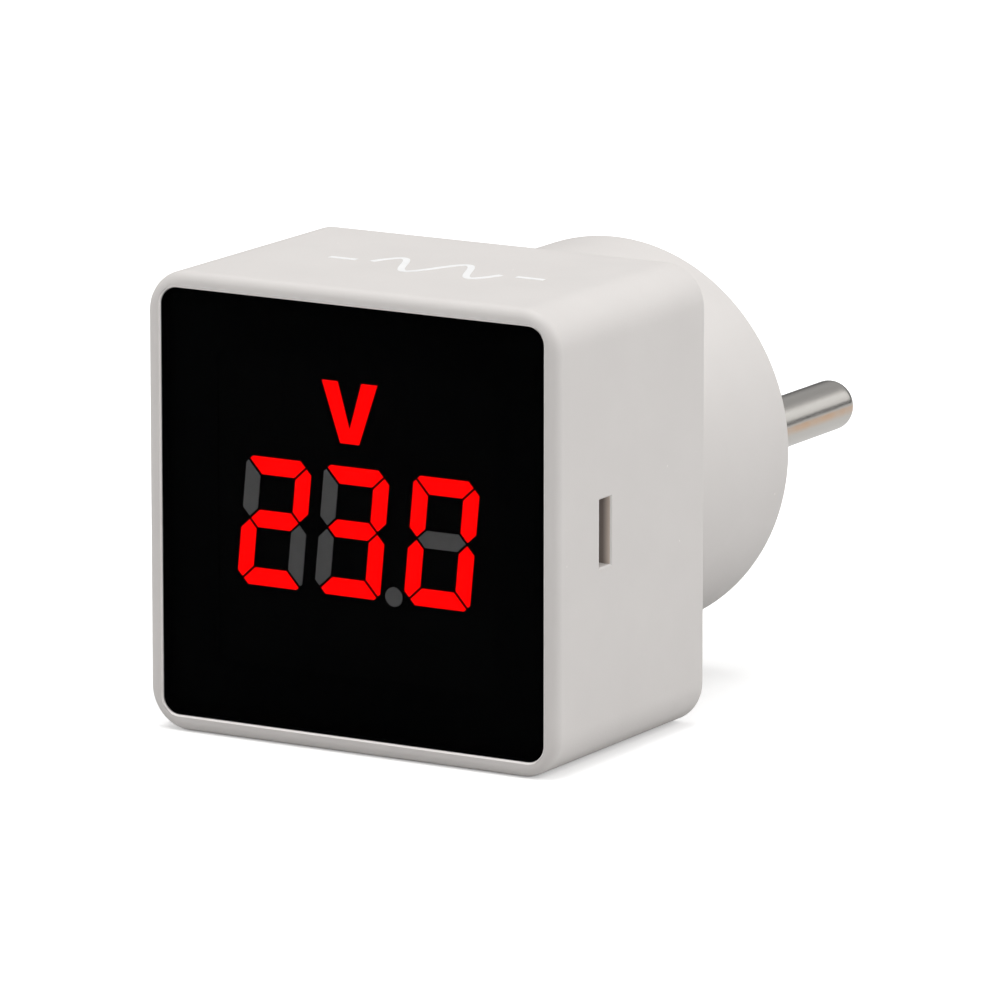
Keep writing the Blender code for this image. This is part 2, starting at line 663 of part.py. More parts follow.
def make_divider_resistors(seat_y):
    """The two chip resistors that scale the mains voltage down for measuring."""
    for number, z in enumerate((2.0 * MM, 5.0 * MM), start=1):
        body = bmesh.new()
        block(body, (-7.6 * MM, seat_y - 0.6 * MM, z - 0.8 * MM), (-4.4 * MM, seat_y, z + 0.8 * MM))
        add_object("divider_resistor_%d" % number, body, "chip_black")


def make_board_parts():
    display_rear = at_depth(DISPLAY_BOARD_DEPTH + BOARD_THICKNESS)
    power_front = at_depth(POWER_BOARD_DEPTH)
    power_rear = power_front + BOARD_THICKNESS
    chip_size = (9.9 * MM, 1.6 * MM, 3.9 * MM)
    make_chip("microcontroller", (0.0, -2.0 * MM), chip_size, display_rear + PART_LIFT, 1, 8)
    bridge_size = (4.7 * MM, 1.6 * MM, 3.9 * MM)
    make_chip("bridge_rectifier", (-6.0 * MM, -4.0 * MM), bridge_size, power_front - PART_LIFT, -1, 2)
    make_film_capacitor(power_rear + FIT_GAP)
    make_electrolytic(power_rear + FIT_GAP)
    make_varistor(power_rear + PART_LIFT)
    make_fuse_resistor(power_rear + PART_LIFT)
    make_regulator(power_front - FIT_GAP)
    make_divider_resistors(power_front - PART_LIFT)


# ---------------------------------------------------------------- plug

def make_plug_base():
    """The rear plate and the hollow collar, moulded as one, with posts for the power board."""
    plate_gap = FIT_GAP
    half_x = CASE_WIDTH / 2.0 - CASE_WALL - plate_gap
    half_z = CASE_HEIGHT / 2.0 - CASE_WALL - plate_gap
    front = at_depth(PLATE_FRONT)
    rear = at_depth(PLATE_REAR)
    plate = bmesh.new()
    prism(plate, rounded_outline(half_x, half_z, CASE_CORNER - CASE_WALL - plate_gap), front, rear)
    base = add_object("plug_base", plate, "case_plastic")

    collar = bmesh.new()
    profile = [(COLLAR_RADIUS, front + 0.6 * MM)] + arc_profile(COLLAR_RADIUS, 0.0, COLLAR_EDGE)
    turned(collar, profile, 72)
    combine(base, collar, "UNION", "collar")

    posts = bmesh.new()
    post_end = at_depth(POWER_BOARD_DEPTH + BOARD_THICKNESS + FIT_GAP)
    for centre in POWER_POSTS:
        prism(posts, circle_outline(BOSS_RADIUS, 16, centre), post_end, front + 0.5 * MM)
    combine(base, posts, "UNION", "posts")

    bore = bmesh.new()
    inner = COLLAR_RADIUS - COLLAR_WALL
    floor = -PLUG_FACE_THICKNESS
    turned(bore, [(inner, front - 1.0 * MM)] + arc_profile(inner, floor, COLLAR_INNER_EDGE, 2), 48)
    combine(base, bore, "DIFFERENCE", "bore")

    cuts = bmesh.new()
    for sx in (-1, 1):
        centre = (sx * PIN_SPACING / 2.0, 0.0)
        hole = circle_outline(PIN_RADIUS + PIN_CLEARANCE, 24, centre)
        prism(cuts, hole, floor - 1.0 * MM, 1.0 * MM)
        reach = LATCH_THICKNESS / 2.0 + FIT_GAP
        xs = sorted((sx * (LATCH_PIVOT_X - reach), sx * (half_x + 1.0 * MM)))
        half = LATCH_HALF_WIDTH + FIT_GAP
        notch_end = at_depth(LATCH_PIVOT_DEPTH) + reach
        block(cuts, (xs[0], front - 1.0 * MM, -half), (xs[1], notch_end, half))
    for centre in POWER_SCREWS:
        pilot = circle_outline(PILOT_RADIUS, 12, centre)
        prism(cuts, pilot, post_end - 1.0 * MM, post_end + 3.4 * MM)
    combine(base, cuts, "DIFFERENCE", "holes")


def make_pin(name, side):
    """A solid pin: rounded tip, a flange inside the plug face and a stub for its tag."""
    profile = [(1.2 * MM, -7.0 * MM), (1.4 * MM, -6.8 * MM), (1.4 * MM, -3.9 * MM), (2.9 * MM, -3.9 * MM),
               (2.9 * MM, -PLUG_FACE_THICKNESS - FIT_GAP), (PIN_RADIUS, -PLUG_FACE_THICKNESS - FIT_GAP)]
    profile += arc_profile(PIN_RADIUS, PIN_LENGTH, PIN_TIP_RADIUS, 5)
    body = bmesh.new()
    turned(body, profile, 32, (side * PIN_SPACING / 2.0, 0.0))
    add_object(name, body, "pin_nickel")


def make_pin_tag(name, side):
    """The brass tag round the pin's stub, with a tab for the lead."""
    centre_x = side * PIN_SPACING / 2.0
    near = -4.7 * MM
    far = -4.2 * MM
    body = bmesh.new()
    ring = [(2.6 * MM, near), (2.6 * MM, far)]
    turned(body, ring, 20, (centre_x, 0.0))
    tag = add_object(name, body, "contact_brass")
    tab = bmesh.new()
    block(tab, (centre_x - 0.9 * MM, near + 0.05 * MM, -5.6 * MM),
          (centre_x + 0.9 * MM, far - 0.05 * MM, -2.0 * MM))
    combine(tag, tab, "UNION", "tab")
    hole = bmesh.new()
    prism(hole, circle_outline(1.6 * MM, 16, (centre_x, 0.0)), near - 1.0 * MM, far + 1.0 * MM)
    combine(tag, hole, "DIFFERENCE", "hole")


def make_lead(name, side, material):
    """The insulated lead from a pin's tag to the power board, bowed a little downwards."""
    start = Vector((side * PIN_SPACING / 2.0, -5.1 * MM, -4.6 * MM))
    end = Vector((side * 10.8 * MM, at_depth(POWER_BOARD_DEPTH + BOARD_THICKNESS) + FIT_GAP, -4.6 * MM))
    bow = 1.3 * MM
    path = bpy.data.curves.new(name, "CURVE")
    path.dimensions = "3D"
    path.bevel_depth = LEAD_RADIUS
    path.bevel_resolution = 2
    path.use_fill_caps = True
    line = path.splines.new("POLY")
    line.points.add(CURVE_STEPS)
    for i in range(CURVE_STEPS + 1):
        part = i / CURVE_STEPS
        place = start.lerp(end, part)
        place.z -= bow * math.sin(math.pi * part) ** 2
        line.points[i].co = (*place, 1.0)
    path.materials.append(finish_material(material))
    item = bpy.data.objects.new(name, path)
    bpy.context.scene.collection.objects.link(item)


def make_latch(name, side):
    """A snap arm: its round foot turns in the plate's notch, its ramped catch fills the slot."""
    half = LATCH_THICKNESS / 2.0
    outline = []
    foot_steps = 8
    for i in range(foot_steps + 1):
        angle = math.pi * i / foot_steps
        outline.append((LATCH_PIVOT_X + half * math.cos(angle),
                        at_depth(LATCH_PIVOT_DEPTH) + half * math.sin(angle)))
    inner_x = LATCH_PIVOT_X - half
    outer_x = LATCH_PIVOT_X + half
    tip = at_depth(LATCH_TIP_DEPTH)
    catch = at_depth(LATCH_CATCH_DEPTH)
    land = 0.15 * MM
    outline += [(inner_x, tip), (outer_x, tip), (LATCH_CATCH_X, catch - land),
                (LATCH_CATCH_X, catch), (outer_x, catch)]
    body = bmesh.new()
    rows = []
    for z in (-LATCH_HALF_WIDTH, LATCH_HALF_WIDTH):
        rows.append([body.verts.new((side * x, y, z)) for x, y in outline])
    count = len(outline)
    for i in range(count):
        j = (i + 1) % count
        body.faces.new((rows[0][i], rows[0][j], rows[1][j], rows[1][i]))
    body.faces.new(rows[0])
    body.faces.new(rows[1])
    pivot = (side * LATCH_PIVOT_X, at_depth(LATCH_PIVOT_DEPTH), 0.0)
    add_object(name, body, "case_plastic", pivot)


def make_plug():
    make_plug_base()
    for name, side, colour in (("left", -1, "lead_blue"), ("right", 1, "lead_brown")):
        make_pin("pin_" + name, side)
        make_pin_tag("pin_tag_" + name, side)
        make_lead("lead_" + name, side, colour)
        make_latch("latch_" + name, side)


def main():
    clear_scene()
    pieces = diffuser_outlines()
    make_front_case()
    make_window()
    make_display_module(pieces)
    make_display_board(pieces)
    make_power_board()
    make_screws()
    make_header()
    make_board_parts()
    make_plug()


main()
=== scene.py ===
"""Finished look of a plug-in mains voltage tester, built round its packed working model.

All places are in metres in the working model's frame: the origin is the centre of the plug's flat
face, +Y runs along the pins, away from the display, and +Z is up.
"""
import json
import math

import bmesh
import bpy
from bpy.props import FloatProperty, FloatVectorProperty, IntProperty, PointerProperty
from bpy.types import Operator, Panel, PropertyGroup
from mathutils import Matrix, Vector


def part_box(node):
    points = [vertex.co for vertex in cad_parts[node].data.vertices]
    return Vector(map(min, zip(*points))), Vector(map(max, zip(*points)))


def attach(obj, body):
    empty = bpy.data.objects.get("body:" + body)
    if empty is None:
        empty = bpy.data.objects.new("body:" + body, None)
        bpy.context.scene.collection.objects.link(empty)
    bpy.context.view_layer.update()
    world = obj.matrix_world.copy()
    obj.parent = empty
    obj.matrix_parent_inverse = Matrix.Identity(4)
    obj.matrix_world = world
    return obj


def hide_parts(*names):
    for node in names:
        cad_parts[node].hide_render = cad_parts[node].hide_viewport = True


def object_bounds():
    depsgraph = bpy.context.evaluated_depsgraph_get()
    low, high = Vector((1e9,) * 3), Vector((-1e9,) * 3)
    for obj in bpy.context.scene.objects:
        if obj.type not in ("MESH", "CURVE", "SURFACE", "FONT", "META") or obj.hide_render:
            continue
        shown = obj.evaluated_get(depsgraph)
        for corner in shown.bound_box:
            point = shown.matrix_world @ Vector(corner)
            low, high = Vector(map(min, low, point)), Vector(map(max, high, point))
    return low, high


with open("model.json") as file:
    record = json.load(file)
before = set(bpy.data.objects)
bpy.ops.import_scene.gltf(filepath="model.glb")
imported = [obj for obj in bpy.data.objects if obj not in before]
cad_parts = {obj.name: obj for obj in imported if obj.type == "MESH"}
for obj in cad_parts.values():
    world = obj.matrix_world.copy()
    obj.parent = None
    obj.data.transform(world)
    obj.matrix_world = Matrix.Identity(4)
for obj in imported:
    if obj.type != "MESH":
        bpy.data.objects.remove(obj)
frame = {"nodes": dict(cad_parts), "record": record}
CAD_LOW, CAD_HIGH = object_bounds()
CAD_MIDDLE = (CAD_LOW + CAD_HIGH) / 2.0

bl_info = {
    "name": "Plug-in voltage tester",
    "version": (1, 0, 0),
    "blender": (4, 5, 0),
    "location": "3D View > Sidebar > Tester",
    "description": "Builds the case, window, display, plug and circuit boards of a voltage tester",
    "category": "Object",
}

MM = 0.001
TAU = 2.0 * math.pi
HOUSING = "housing"
SIDES = (("left", -1), ("right", 1))

CASE_LOW, CASE_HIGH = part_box("front_case")
PANE_LOW, PANE_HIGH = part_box("display_window")
TAPE_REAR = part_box("window_tape")[1].y
MODULE_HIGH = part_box("display_housing")[1]
BASE_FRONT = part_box("plug_base")[0].y
PIN_LOW, PIN_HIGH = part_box("pin_right")


def widest(node, beyond):
    """Half the width in X of a working node, counting only what lies past a plane across Y."""
    across = [v.co.x for v in frame["nodes"][node].data.vertices if v.co.y > beyond]
    return (max(across) - min(across)) / 2.0


COLLAR_RADIUS = widest("plug_base", CASE_HIGH.y + MM)
PIN_RADIUS = widest("pin_left", MM)
PIN_X = (PIN_LOW.x + PIN_HIGH.x) / 2.0
SLOT_OF = {part["node"]: part["material_slot"] for part in frame["record"]["subparts"]}

# Depths, measured from the front of the box.
FRONT_Y = CASE_LOW.y
LEDGE_REAR = 2.5 * MM
SLOT_FRONT = 6.27 * MM
SLOT_REAR = 8.0 * MM
LATCH_CATCH_Y = FRONT_Y + 7.8 * MM
LATCH_Y = FRONT_Y + 20.4 * MM

# The box and its window.
SLOT_HALF = 2.6 * MM
POST = 1.6 * MM
POST_SHORTFALL = 2.7 * MM    # from a corner post's end to the rear rim
BURIED = 0.4 * MM            # how far a joined block reaches into its neighbour
POCKET_GAP = 0.2 * MM
MODULE_GAP = 0.3 * MM
MODULE_CORNER = 0.8 * MM

# The plug base, its latches and its leads.
PLATE_THICKNESS = 2.3 * MM
PLUG_FACE = 2.6 * MM
COLLAR_WALL = 2.2 * MM
BOARD_POST_X, BOARD_POST_Z = 11.4 * MM, 13.2 * MM
BOARD_POST_RADIUS = 1.5 * MM
LATCH_X = 15.0 * MM
LATCH_ARM = 0.6 * MM
LATCH_ROOM = 0.9 * MM        # from a latch's root to the edge of its cut-out
PIN_CLEARANCE = 0.06 * MM
LATCH_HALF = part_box("latch_right")[1].z
LEAD_START_Y = -5.1 * MM
LEAD_END_X = 10.8 * MM
LEAD_Z = -4.6 * MM
LEAD_BOW = 1.3 * MM
LEAD_RADIUS = 0.75 * MM


# ---------------------------------------------------------------- settings

def number_setting(name, about, value, subtype="NONE"):
    return FloatProperty(name=name, description=about, default=value, subtype=subtype)


def length_setting(name, about, value):
    return FloatProperty(name=name, description=about, default=value, unit="LENGTH")


def colour_setting(name, about, value):
    return FloatVectorProperty(name=name, description=about, default=value, subtype="COLOR", size=3)


def place_setting(name, about, value):
    return FloatVectorProperty(name=name, description=about, default=value, subtype="TRANSLATION")


class StageSettings(PropertyGroup):
    azimuth: number_setting("Azimuth", "Turn of the camera round the tester, to the right of straight on",
                            math.radians(30.483), "ANGLE")
    elevation: number_setting("Elevation", "Height of the camera above the horizon",
                              math.radians(11.984), "ANGLE")
    distance: length_setting("Distance", "From the camera to the point that it aims at", 0.72)
    aim: place_setting("Aim", "Point that the camera looks at", (0.00305, -0.02299, -0.00096))
    lens: number_setting("Lens", "Focal length in millimetres on a 36 mm sensor", 339.6)
    floor_colour: colour_setting("Floor", "Colour of the pale floor", (0.98, 0.98, 0.98))
    floor_size: length_setting("Floor size", "Half width of the floor", 2.5)
    bounce: number_setting("Bounce", "Share of the floor's light that reaches the tester", 0.65, "FACTOR")
    floor_lift: number_setting("Floor lift", "Light added to the floor as the camera sees it", 0.32)
    zenith: number_setting("Overhead", "Brightness of the studio overhead", 0.26)
    middle: number_setting("Middle", "Brightness of the studio half way up", 0.42)
    horizon: number_setting("Horizon", "Brightness of the studio at the horizon", 0.05)


class CaseSettings(PropertyGroup):
    colour: colour_setting("Plastic", "Colour of the moulded plastic", (0.70, 0.672, 0.652))
    corner: length_setting("Corner", "Radius of the four long corners", 3.3 * MM)
    fillet: length_setting("Front edge", "Radius of the edge round the front", 0.8 * MM)
    rear_edge: length_setting("Rear edge", "Radius of the edge round the rear", 0.2 * MM)
    wall: length_setting("Wall", "Thickness of the side walls", 1.8 * MM)
    # The chamfer's brightness is a painted highlight in its finish.
    lip: length_setting("Window lip", "Width of the bright chamfer round the window", 0.13 * MM)
    corner_steps: IntProperty(
        name="Corner steps", description="Faces round each long corner", default=16)


class WindowSettings(PropertyGroup):
    gap: length_setting("Gap", "Gap between the pane and its pocket", 0.05 * MM)
    corner: length_setting("Corner", "Radius of the pocket's corners", 1.4 * MM)
    smoke: number_setting("Smoke", "Share of light that each face of the pane stops", 0.3, "FACTOR")


class DisplaySettings(PropertyGroup):
    lit_colour: colour_setting("Lit", "Colour of a lit segment", (1.0, 0.0, 0.0))
    glow: number_setting("Glow", "Brightness of a lit segment", 2.1)
    dark_colour: colour_setting("Unlit", "Colour of an unlit segment", (0.32, 0.32, 0.32))


class PlugSettings(PropertyGroup):
    edge: length_setting("Collar edge", "Radius of the edge round the plug's face", 0.2 * MM)
    tip: length_setting("Pin tip", "Radius of the rounding at a pin's end", 1.3 * MM)
    metal: colour_setting("Pin metal", "Colour of the nickel plating", (0.66, 0.635, 0.60))


class MarkSettings(PropertyGroup):
    centre: place_setting("Centre", "Middle of the alternating current sign on the top",
                          (1.0 * MM, -29.0 * MM, 0.0))
    wave: length_setting("Wave", "Length of the sign's wave", 11.4 * MM)
    swing: length_setting("Swing", "Height of the wave above its middle", 2.25 * MM)
    turns: number_setting("Turns", "Number of times the wave repeats", 2.0)
    bar: length_setting("Bar", "Length of the bar at each side", 2.4 * MM)
    stroke: length_setting("Stroke", "Width of the printed line", 0.55 * MM)
    film: length_setting("Film", "Thickness of the ink", 0.02 * MM)


SETTINGS = {
    "tester_stage": StageSettings,
    "tester_case": CaseSettings,
    "tester_window": WindowSettings,
    "tester_display": DisplaySettings,
    "tester_plug": PlugSettings,
    "tester_mark": MarkSettings,
}


# ---------------------------------------------------------------- materials

NOISE_BAND = (0.3, 0.7)    # where nearly all of a noise pattern's values lie
# Painted shade deep in the latch slots, and a painted highlight at their mouths.
SLOT_PAINTED_SHADE = (0.30, 0.262, 0.24)
SLOT_PAINTED_HIGHLIGHT = (1.0, 0.88, 0.78)
# Colour of the warm band along the pins' sides at mid height.
WARM_BAND_METAL = (0.72, 0.51, 0.36)


def add_node(tree, kind, feeds=(), **options):
    """Add a node, set its options, and feed its inputs from sockets or constants."""
    made = tree.nodes.new(kind)
    for option, value in options.items():
        setattr(made, option, value)
    for key, source in dict(feeds).items():
        if isinstance(source, bpy.types.NodeSocket):
            tree.links.new(source, made.inputs[key])
        else:
            made.inputs[key].default_value = source
    return made


def blank_finish(name, colour, roughness, metallic=0.0, specular=0.5):
    """A new material with its shader's constant values set."""
    made = bpy.data.materials.new(name)
    made.use_nodes = True
    shader = made.node_tree.nodes["Principled BSDF"]
    values = {"Base Color": (*colour, 1.0), "Roughness": roughness, "Metallic": metallic,
              "Specular IOR Level": specular}
    for socket, value in values.items():
        shader.inputs[socket].default_value = value
    return made, made.node_tree, shader


def millimetres(tree, stretch=(1.0, 1.0, 1.0)):
    """Object coordinates in millimetres, stretched along the axes."""
    feeds = {"Vector": add_node(tree, "ShaderNodeTexCoord").outputs["Object"],
             "Scale": [s / MM for s in stretch]}
    return add_node(tree, "ShaderNodeMapping", feeds).outputs["Vector"]


def coordinate(tree, axis):
    """One of the object coordinates in millimetres."""
    return add_node(tree, "ShaderNodeSeparateXYZ", {0: millimetres(tree)}).outputs[axis]


def reckoned(tree, operation, *values):
    """One or two numbers or sockets put through a Math node."""
    return add_node(tree, "ShaderNodeMath", dict(enumerate(values)), operation=operation).outputs[0]


def noise(tree, vector, scale, detail=2.0, roughness=0.5):
    feeds = {"Vector": vector, "Scale": scale, "Detail": detail, "Roughness": roughness}
    return add_node(tree, "ShaderNodeTexNoise", feeds).outputs["Fac"]


def spots(tree, vector, scale):
    """Distance to the nearest of many scattered points."""
    feeds = {"Vector": vector, "Scale": scale}
    return add_node(tree, "ShaderNodeTexVoronoi", feeds).outputs["Distance"]


def spread(tree, value, low, high, to_low, to_high):
    """A value taken from one range to another."""
    feeds = {"Value": value, "From Min": low, "From Max": high, "To Min": to_low, "To Max": to_high}
    return add_node(tree, "ShaderNodeMapRange", feeds).outputs["Result"]


def blended(tree, factor, first, second):
    """Two colours, or a colour and a socket, mixed by a factor."""
    pair = [c if isinstance(c, bpy.types.NodeSocket) else (*c, 1.0) for c in (first, second)]
    feeds = {"Factor": factor, 6: pair[0], 7: pair[1]}
    return add_node(tree, "ShaderNodeMix", feeds, data_type="RGBA").outputs[2]


def clouded(tree, place, colour, scale, vary, detail=3.0):
    """A colour that varies a little from place to place."""
    cloud = spread(tree, noise(tree, place, scale, detail), *NOISE_BAND, 0.0, 1.0)
    return blended(tree, cloud, shade(colour, 1.0 - vary), shade(colour, 1.0 + vary))


def roughened(tree, shader, pattern, low, high):
    """Let a pattern vary the roughness between two values."""
    tree.links.new(spread(tree, pattern, *NOISE_BAND, low, high), shader.inputs["Roughness"])


def bumped(tree, shader, height, depth):
    """Raise the surface by a height pattern that is depth metres deep."""
    bump = add_node(tree, "ShaderNodeBump", {"Height": height, "Distance": depth, "Strength": 1.0})
    tree.links.new(bump.outputs["Normal"], shader.inputs["Normal"])


def shade(colour, factor):
    return tuple(channel * factor for channel in colour)


def case_plastic():
    """Light warm grey plastic from an eroded mould: fine grain, faint mottle, a few pale specks."""
    colour = tuple(bpy.context.scene.tester_case.colour)
    made, tree, shader = blank_finish("case_plastic", colour, 0.5, specular=0.32)
    place = millimetres(tree)
    speck = spread(tree, spots(tree, place, 0.3), 0.022, 0.034, 1.0, 0.0)
    base = blended(tree, speck, clouded(tree, place, colour, 0.16, 0.015), shade(colour, 1.18))
    tree.links.new(base, shader.inputs["Base Color"])
    grain = noise(tree, place, 5.5, 3.0, 0.6)
    roughened(tree, shader, grain, 0.46, 0.58)
    bumped(tree, shader, grain, 0.006 * MM)
    return made


def slot_painted_shade():
    """Latch slot walls: painted shade, dark towards the inside, and a painted highlight at the mouth."""
    colour = tuple(bpy.context.scene.tester_case.colour)
    made, tree, shader = blank_finish("slot_painted_shade", colour, 0.6, specular=0.2)
    outwards = reckoned(tree, "ABSOLUTE", coordinate(tree, "X"))
    outside = CASE_HIGH.x / MM
    # Painted shade inside the slot, turning to a painted highlight at its mouth.
    lit_share = spread(tree, outwards, outside - 0.75, outside - 0.02, 0.0, 1.0)
    tree.links.new(blended(tree, lit_share, SLOT_PAINTED_SHADE, SLOT_PAINTED_HIGHLIGHT), shader.inputs["Base Color"])
    return made


def lip_painted_highlight():
    """The same plastic, smoother as where the mould was polished, painted 1.4 times brighter as a
    highlight line round the window.
    """
    colour = tuple(bpy.context.scene.tester_case.colour)
    # Painted highlight: the plastic's colour made 1.4 times brighter.
    return grained("lip_painted_highlight", shade(colour, 1.4), 0.35, 0.5, 4.0, 0.002, 0.03)


def smoked_acrylic():
    """The window: clear acrylic with a dark smoke, and a surface that hardly mirrors."""
    made, tree, shader = blank_finish("smoked_acrylic", (0.0005, 0.0005, 0.0006), 0.1, specular=0.02)
    shader.inputs["Alpha"].default_value = bpy.context.scene.tester_window.smoke
    roughened(tree, shader, noise(tree, millimetres(tree), 0.4, 2.0), 0.1, 0.16)
    return made


def lit_diffuser():
    """A light well's resin, lit from behind by its chip."""
    display = bpy.context.scene.tester_display
    colour = tuple(display.lit_colour)
    made, tree, shader = blank_finish("segment_lit", shade(colour, 0.5), 0.4, specular=0.1)
    shader.inputs["Emission Color"].default_value = (*colour, 1.0)
    cloud = noise(tree, millimetres(tree), 0.9, 1.0)
    strength = spread(tree, cloud, *NOISE_BAND, display.glow * 0.94, display.glow * 1.06)
    tree.links.new(strength, shader.inputs["Emission Strength"])
    return made


def dark_diffuser():
    """The same resin with no light behind it."""
    colour = tuple(bpy.context.scene.tester_display.dark_colour)
    made, tree, shader = blank_finish("segment_dark", colour, 0.5, specular=0.1)
    base = clouded(tree, millimetres(tree), colour, 1.2, 0.04, 2.0)
    tree.links.new(base, shader.inputs["Base Color"])
    return made


def grained(name, colour, roughness, specular=0.5, scale=3.0, depth=0.008, vary=0.06, metallic=0.0):
    """Moulded or cast stuff: a colour that varies a little, and grain of a size and depth in mm."""
    made, tree, shader = blank_finish(name, colour, roughness, metallic, specular)
    place = millimetres(tree)
    tree.links.new(clouded(tree, place, colour, scale / 6.0, vary), shader.inputs["Base Color"])
    grain = noise(tree, place, scale, 3.0)
    roughened(tree, shader, grain, roughness * 0.88, roughness * 1.12)
    bumped(tree, shader, grain, depth * MM)
    return made


def nickel_plate():
    """Nickel plating on brass, drawn along the pin, warmer in a patchy band along each side at mid
    height.
    """
    colour = tuple(bpy.context.scene.tester_plug.metal)
    made, tree, shader = blank_finish("pin_nickel", colour, 0.24, 1.0)
    drawn = noise(tree, millimetres(tree, (9.0, 0.35, 9.0)), 1.0, 3.0, 0.6)
    height = coordinate(tree, "Z")
    upper = spread(tree, height, 0.1, 0.3, 1.0, 0.0)
    lower = spread(tree, height, -0.6, -0.15, 0.0, 1.0)
    patchy = spread(tree, noise(tree, millimetres(tree), 0.5, 3.0), 0.25, 0.65, 0.35, 1.0)
    warm_band = reckoned(tree, "MULTIPLY", reckoned(tree, "MULTIPLY", upper, lower), patchy)
    tree.links.new(blended(tree, warm_band, colour, WARM_BAND_METAL), shader.inputs["Base Color"])
    roughened(tree, shader, drawn, 0.2, 0.27)
    bumped(tree, shader, drawn, 0.004 * MM)
    return made


def glass_fibre_board():
    """Green solder mask over the weave of the board, with copper tracks showing through."""
    made, tree, shader = blank_finish("board_green", (0.01, 0.12, 0.04), 0.35)
    place = millimetres(tree)
    upright = (math.pi / 2.0, 0.0, 0.0)
    turn = add_node(tree, "ShaderNodeMapping", {"Vector": place, "Rotation": upright})
    feeds = {"Vector": turn.outputs[0], "Scale": 0.55, "Mortar Size": 0.14,
             "Color1": (0.008, 0.10, 0.035, 1.0), "Color2": (0.010, 0.12, 0.042, 1.0),
             "Mortar": (0.016, 0.19, 0.065, 1.0)}
    weave = add_node(tree, "ShaderNodeTexBrick", feeds, offset=0.5)
    tree.links.new(weave.outputs["Color"], shader.inputs["Base Color"])
    bumped(tree, shader, noise(tree, place, 4.0), 0.01 * MM)
    return made


# Colour, roughness, shine, size of the grain, its depth in mm, variation of the colour, and metal.
PLAIN_FINISHES = {
    "display_black": ((0.0012, 0.0012, 0.0014), 0.65, 0.03),
    "window_ink": ((0.001, 0.001, 0.0012), 0.7, 0.02),
    "white_ink": ((0.93, 0.93, 0.93), 0.42, 0.5, 4.0, 0.003, 0.03),
    "tape_black": ((0.012, 0.012, 0.012), 0.85, 0.2, 6.0, 0.02),
    "chip_black": ((0.018, 0.018, 0.02), 0.55, 0.4, 7.0, 0.01),
    "contact_brass": ((0.76, 0.58, 0.27), 0.3, 0.5, 5.0, 0.003, 0.05, 1.0),
    "screw_steel": ((0.56, 0.56, 0.57), 0.32, 0.5, 6.0, 0.003, 0.05, 1.0),
    "film_yellow": ((0.72, 0.47, 0.05), 0.35, 0.5, 1.5, 0.01),
    "sleeve_black": ((0.025, 0.025, 0.03), 0.3, 0.5, 2.0, 0.005),
    "disc_blue": ((0.025, 0.11, 0.42), 0.38, 0.5, 1.2, 0.02),
    "resistor_green": ((0.14, 0.28, 0.19), 0.55, 0.4, 4.0, 0.01),
    "lead_blue": ((0.02, 0.08, 0.40), 0.45, 0.4, 2.0, 0.005),
    "lead_brown": ((0.17, 0.055, 0.02), 0.45, 0.4, 2.0, 0.005),
    "solder": ((0.62, 0.62, 0.63), 0.28, 0.5, 5.0, 0.006, 0.08, 1.0),
}
FINISHES = {}


def mix_finishes():
    """Make every finish once, before the pieces that use them."""
    for name, recipe in PLAIN_FINISHES.items():
        FINISHES[name] = grained(name, *recipe)
    FINISHES["case_plastic"] = case_plastic()
    FINISHES["lip_painted_highlight"] = lip_painted_highlight()
    FINISHES["slot_painted_shade"] = slot_painted_shade()
    FINISHES["window_tint"] = smoked_acrylic()
    FINISHES["segment_lit"] = lit_diffuser()
    FINISHES["segment_dark"] = dark_diffuser()
    FINISHES["pin_nickel"] = nickel_plate()
    FINISHES["board_green"] = glass_fibre_board()


# ---------------------------------------------------------------- mesh work

def rounded_outline(half_x, half_z, radius, steps, support=0.25 * MM):
    """A rounded rectangle, with a point on the straight just before and after each corner."""
    points = []
    for quarter, (sx, sz) in enumerate(((1, 1), (-1, 1), (-1, -1), (1, -1))):
        centre = Vector((sx * (half_x - radius), sz * (half_z - radius)))
        for step in range(steps + 1):
            angle = (quarter + step / steps) * math.pi / 2.0
            out = Vector((math.cos(angle), math.sin(angle)))
            along = Vector((-out.y, out.x))
            here = centre + out * radius
            if step == 0:
                points.append(here - along * support)
            points.append(here)
            if step == steps:
                points.append(here + along * support)
    return points


def circle_outline(radius, sides, centre=(0.0, 0.0)):
    turns = [TAU * i / sides for i in range(sides)]
    return [(centre[0] + radius * math.cos(a), centre[1] + radius * math.sin(a)) for a in turns]


def box_outline(x0, x1, z0, z1):
    return [(x1, z1), (x0, z1), (x0, z0), (x1, z0)]


def middle_of(low, high):
    return (low + high) / 2.0


def skin(shape, rows, closed=False):
    """Join a row of equal rings of points by faces, capped or closed on itself."""
    followers = rows[1:] + rows[:1] if closed else rows[1:]
    for near, far in zip(rows, followers):
        for i in range(len(near)):
            j = (i + 1) % len(near)
            shape.faces.new((near[i], near[j], far[j], far[i]))
    if not closed:
        shape.faces.new(rows[0])
        shape.faces.new(rows[-1])


def loft(shape, rings, closed=False):
    """Skin a row of rings given as (outline, y)."""
    rows = [[shape.verts.new((x, y, z)) for x, z in outline] for outline, y in rings]
    skin(shape, rows, closed)


def turned(shape, profile, sides, centre=(0.0, 0.0)):
    """Turn a profile of (radius, y) points about a line along Y."""
    loft(shape, [(circle_outline(radius, sides, centre), y) for radius, y in profile])


def block(shape, low, high):
    loft(shape, [(box_outline(low[0], high[0], low[2], high[2]), y) for y in (low[1], high[1])])


def quarter_arc(radius, steps):
    """Insets and depths round a quarter circle: (radius, 0) first and (0, radius) last."""
    for step in range(steps + 1):
        angle = step / steps * math.pi / 2.0
        yield radius * (1.0 - math.sin(angle)), radius * (1.0 - math.cos(angle))


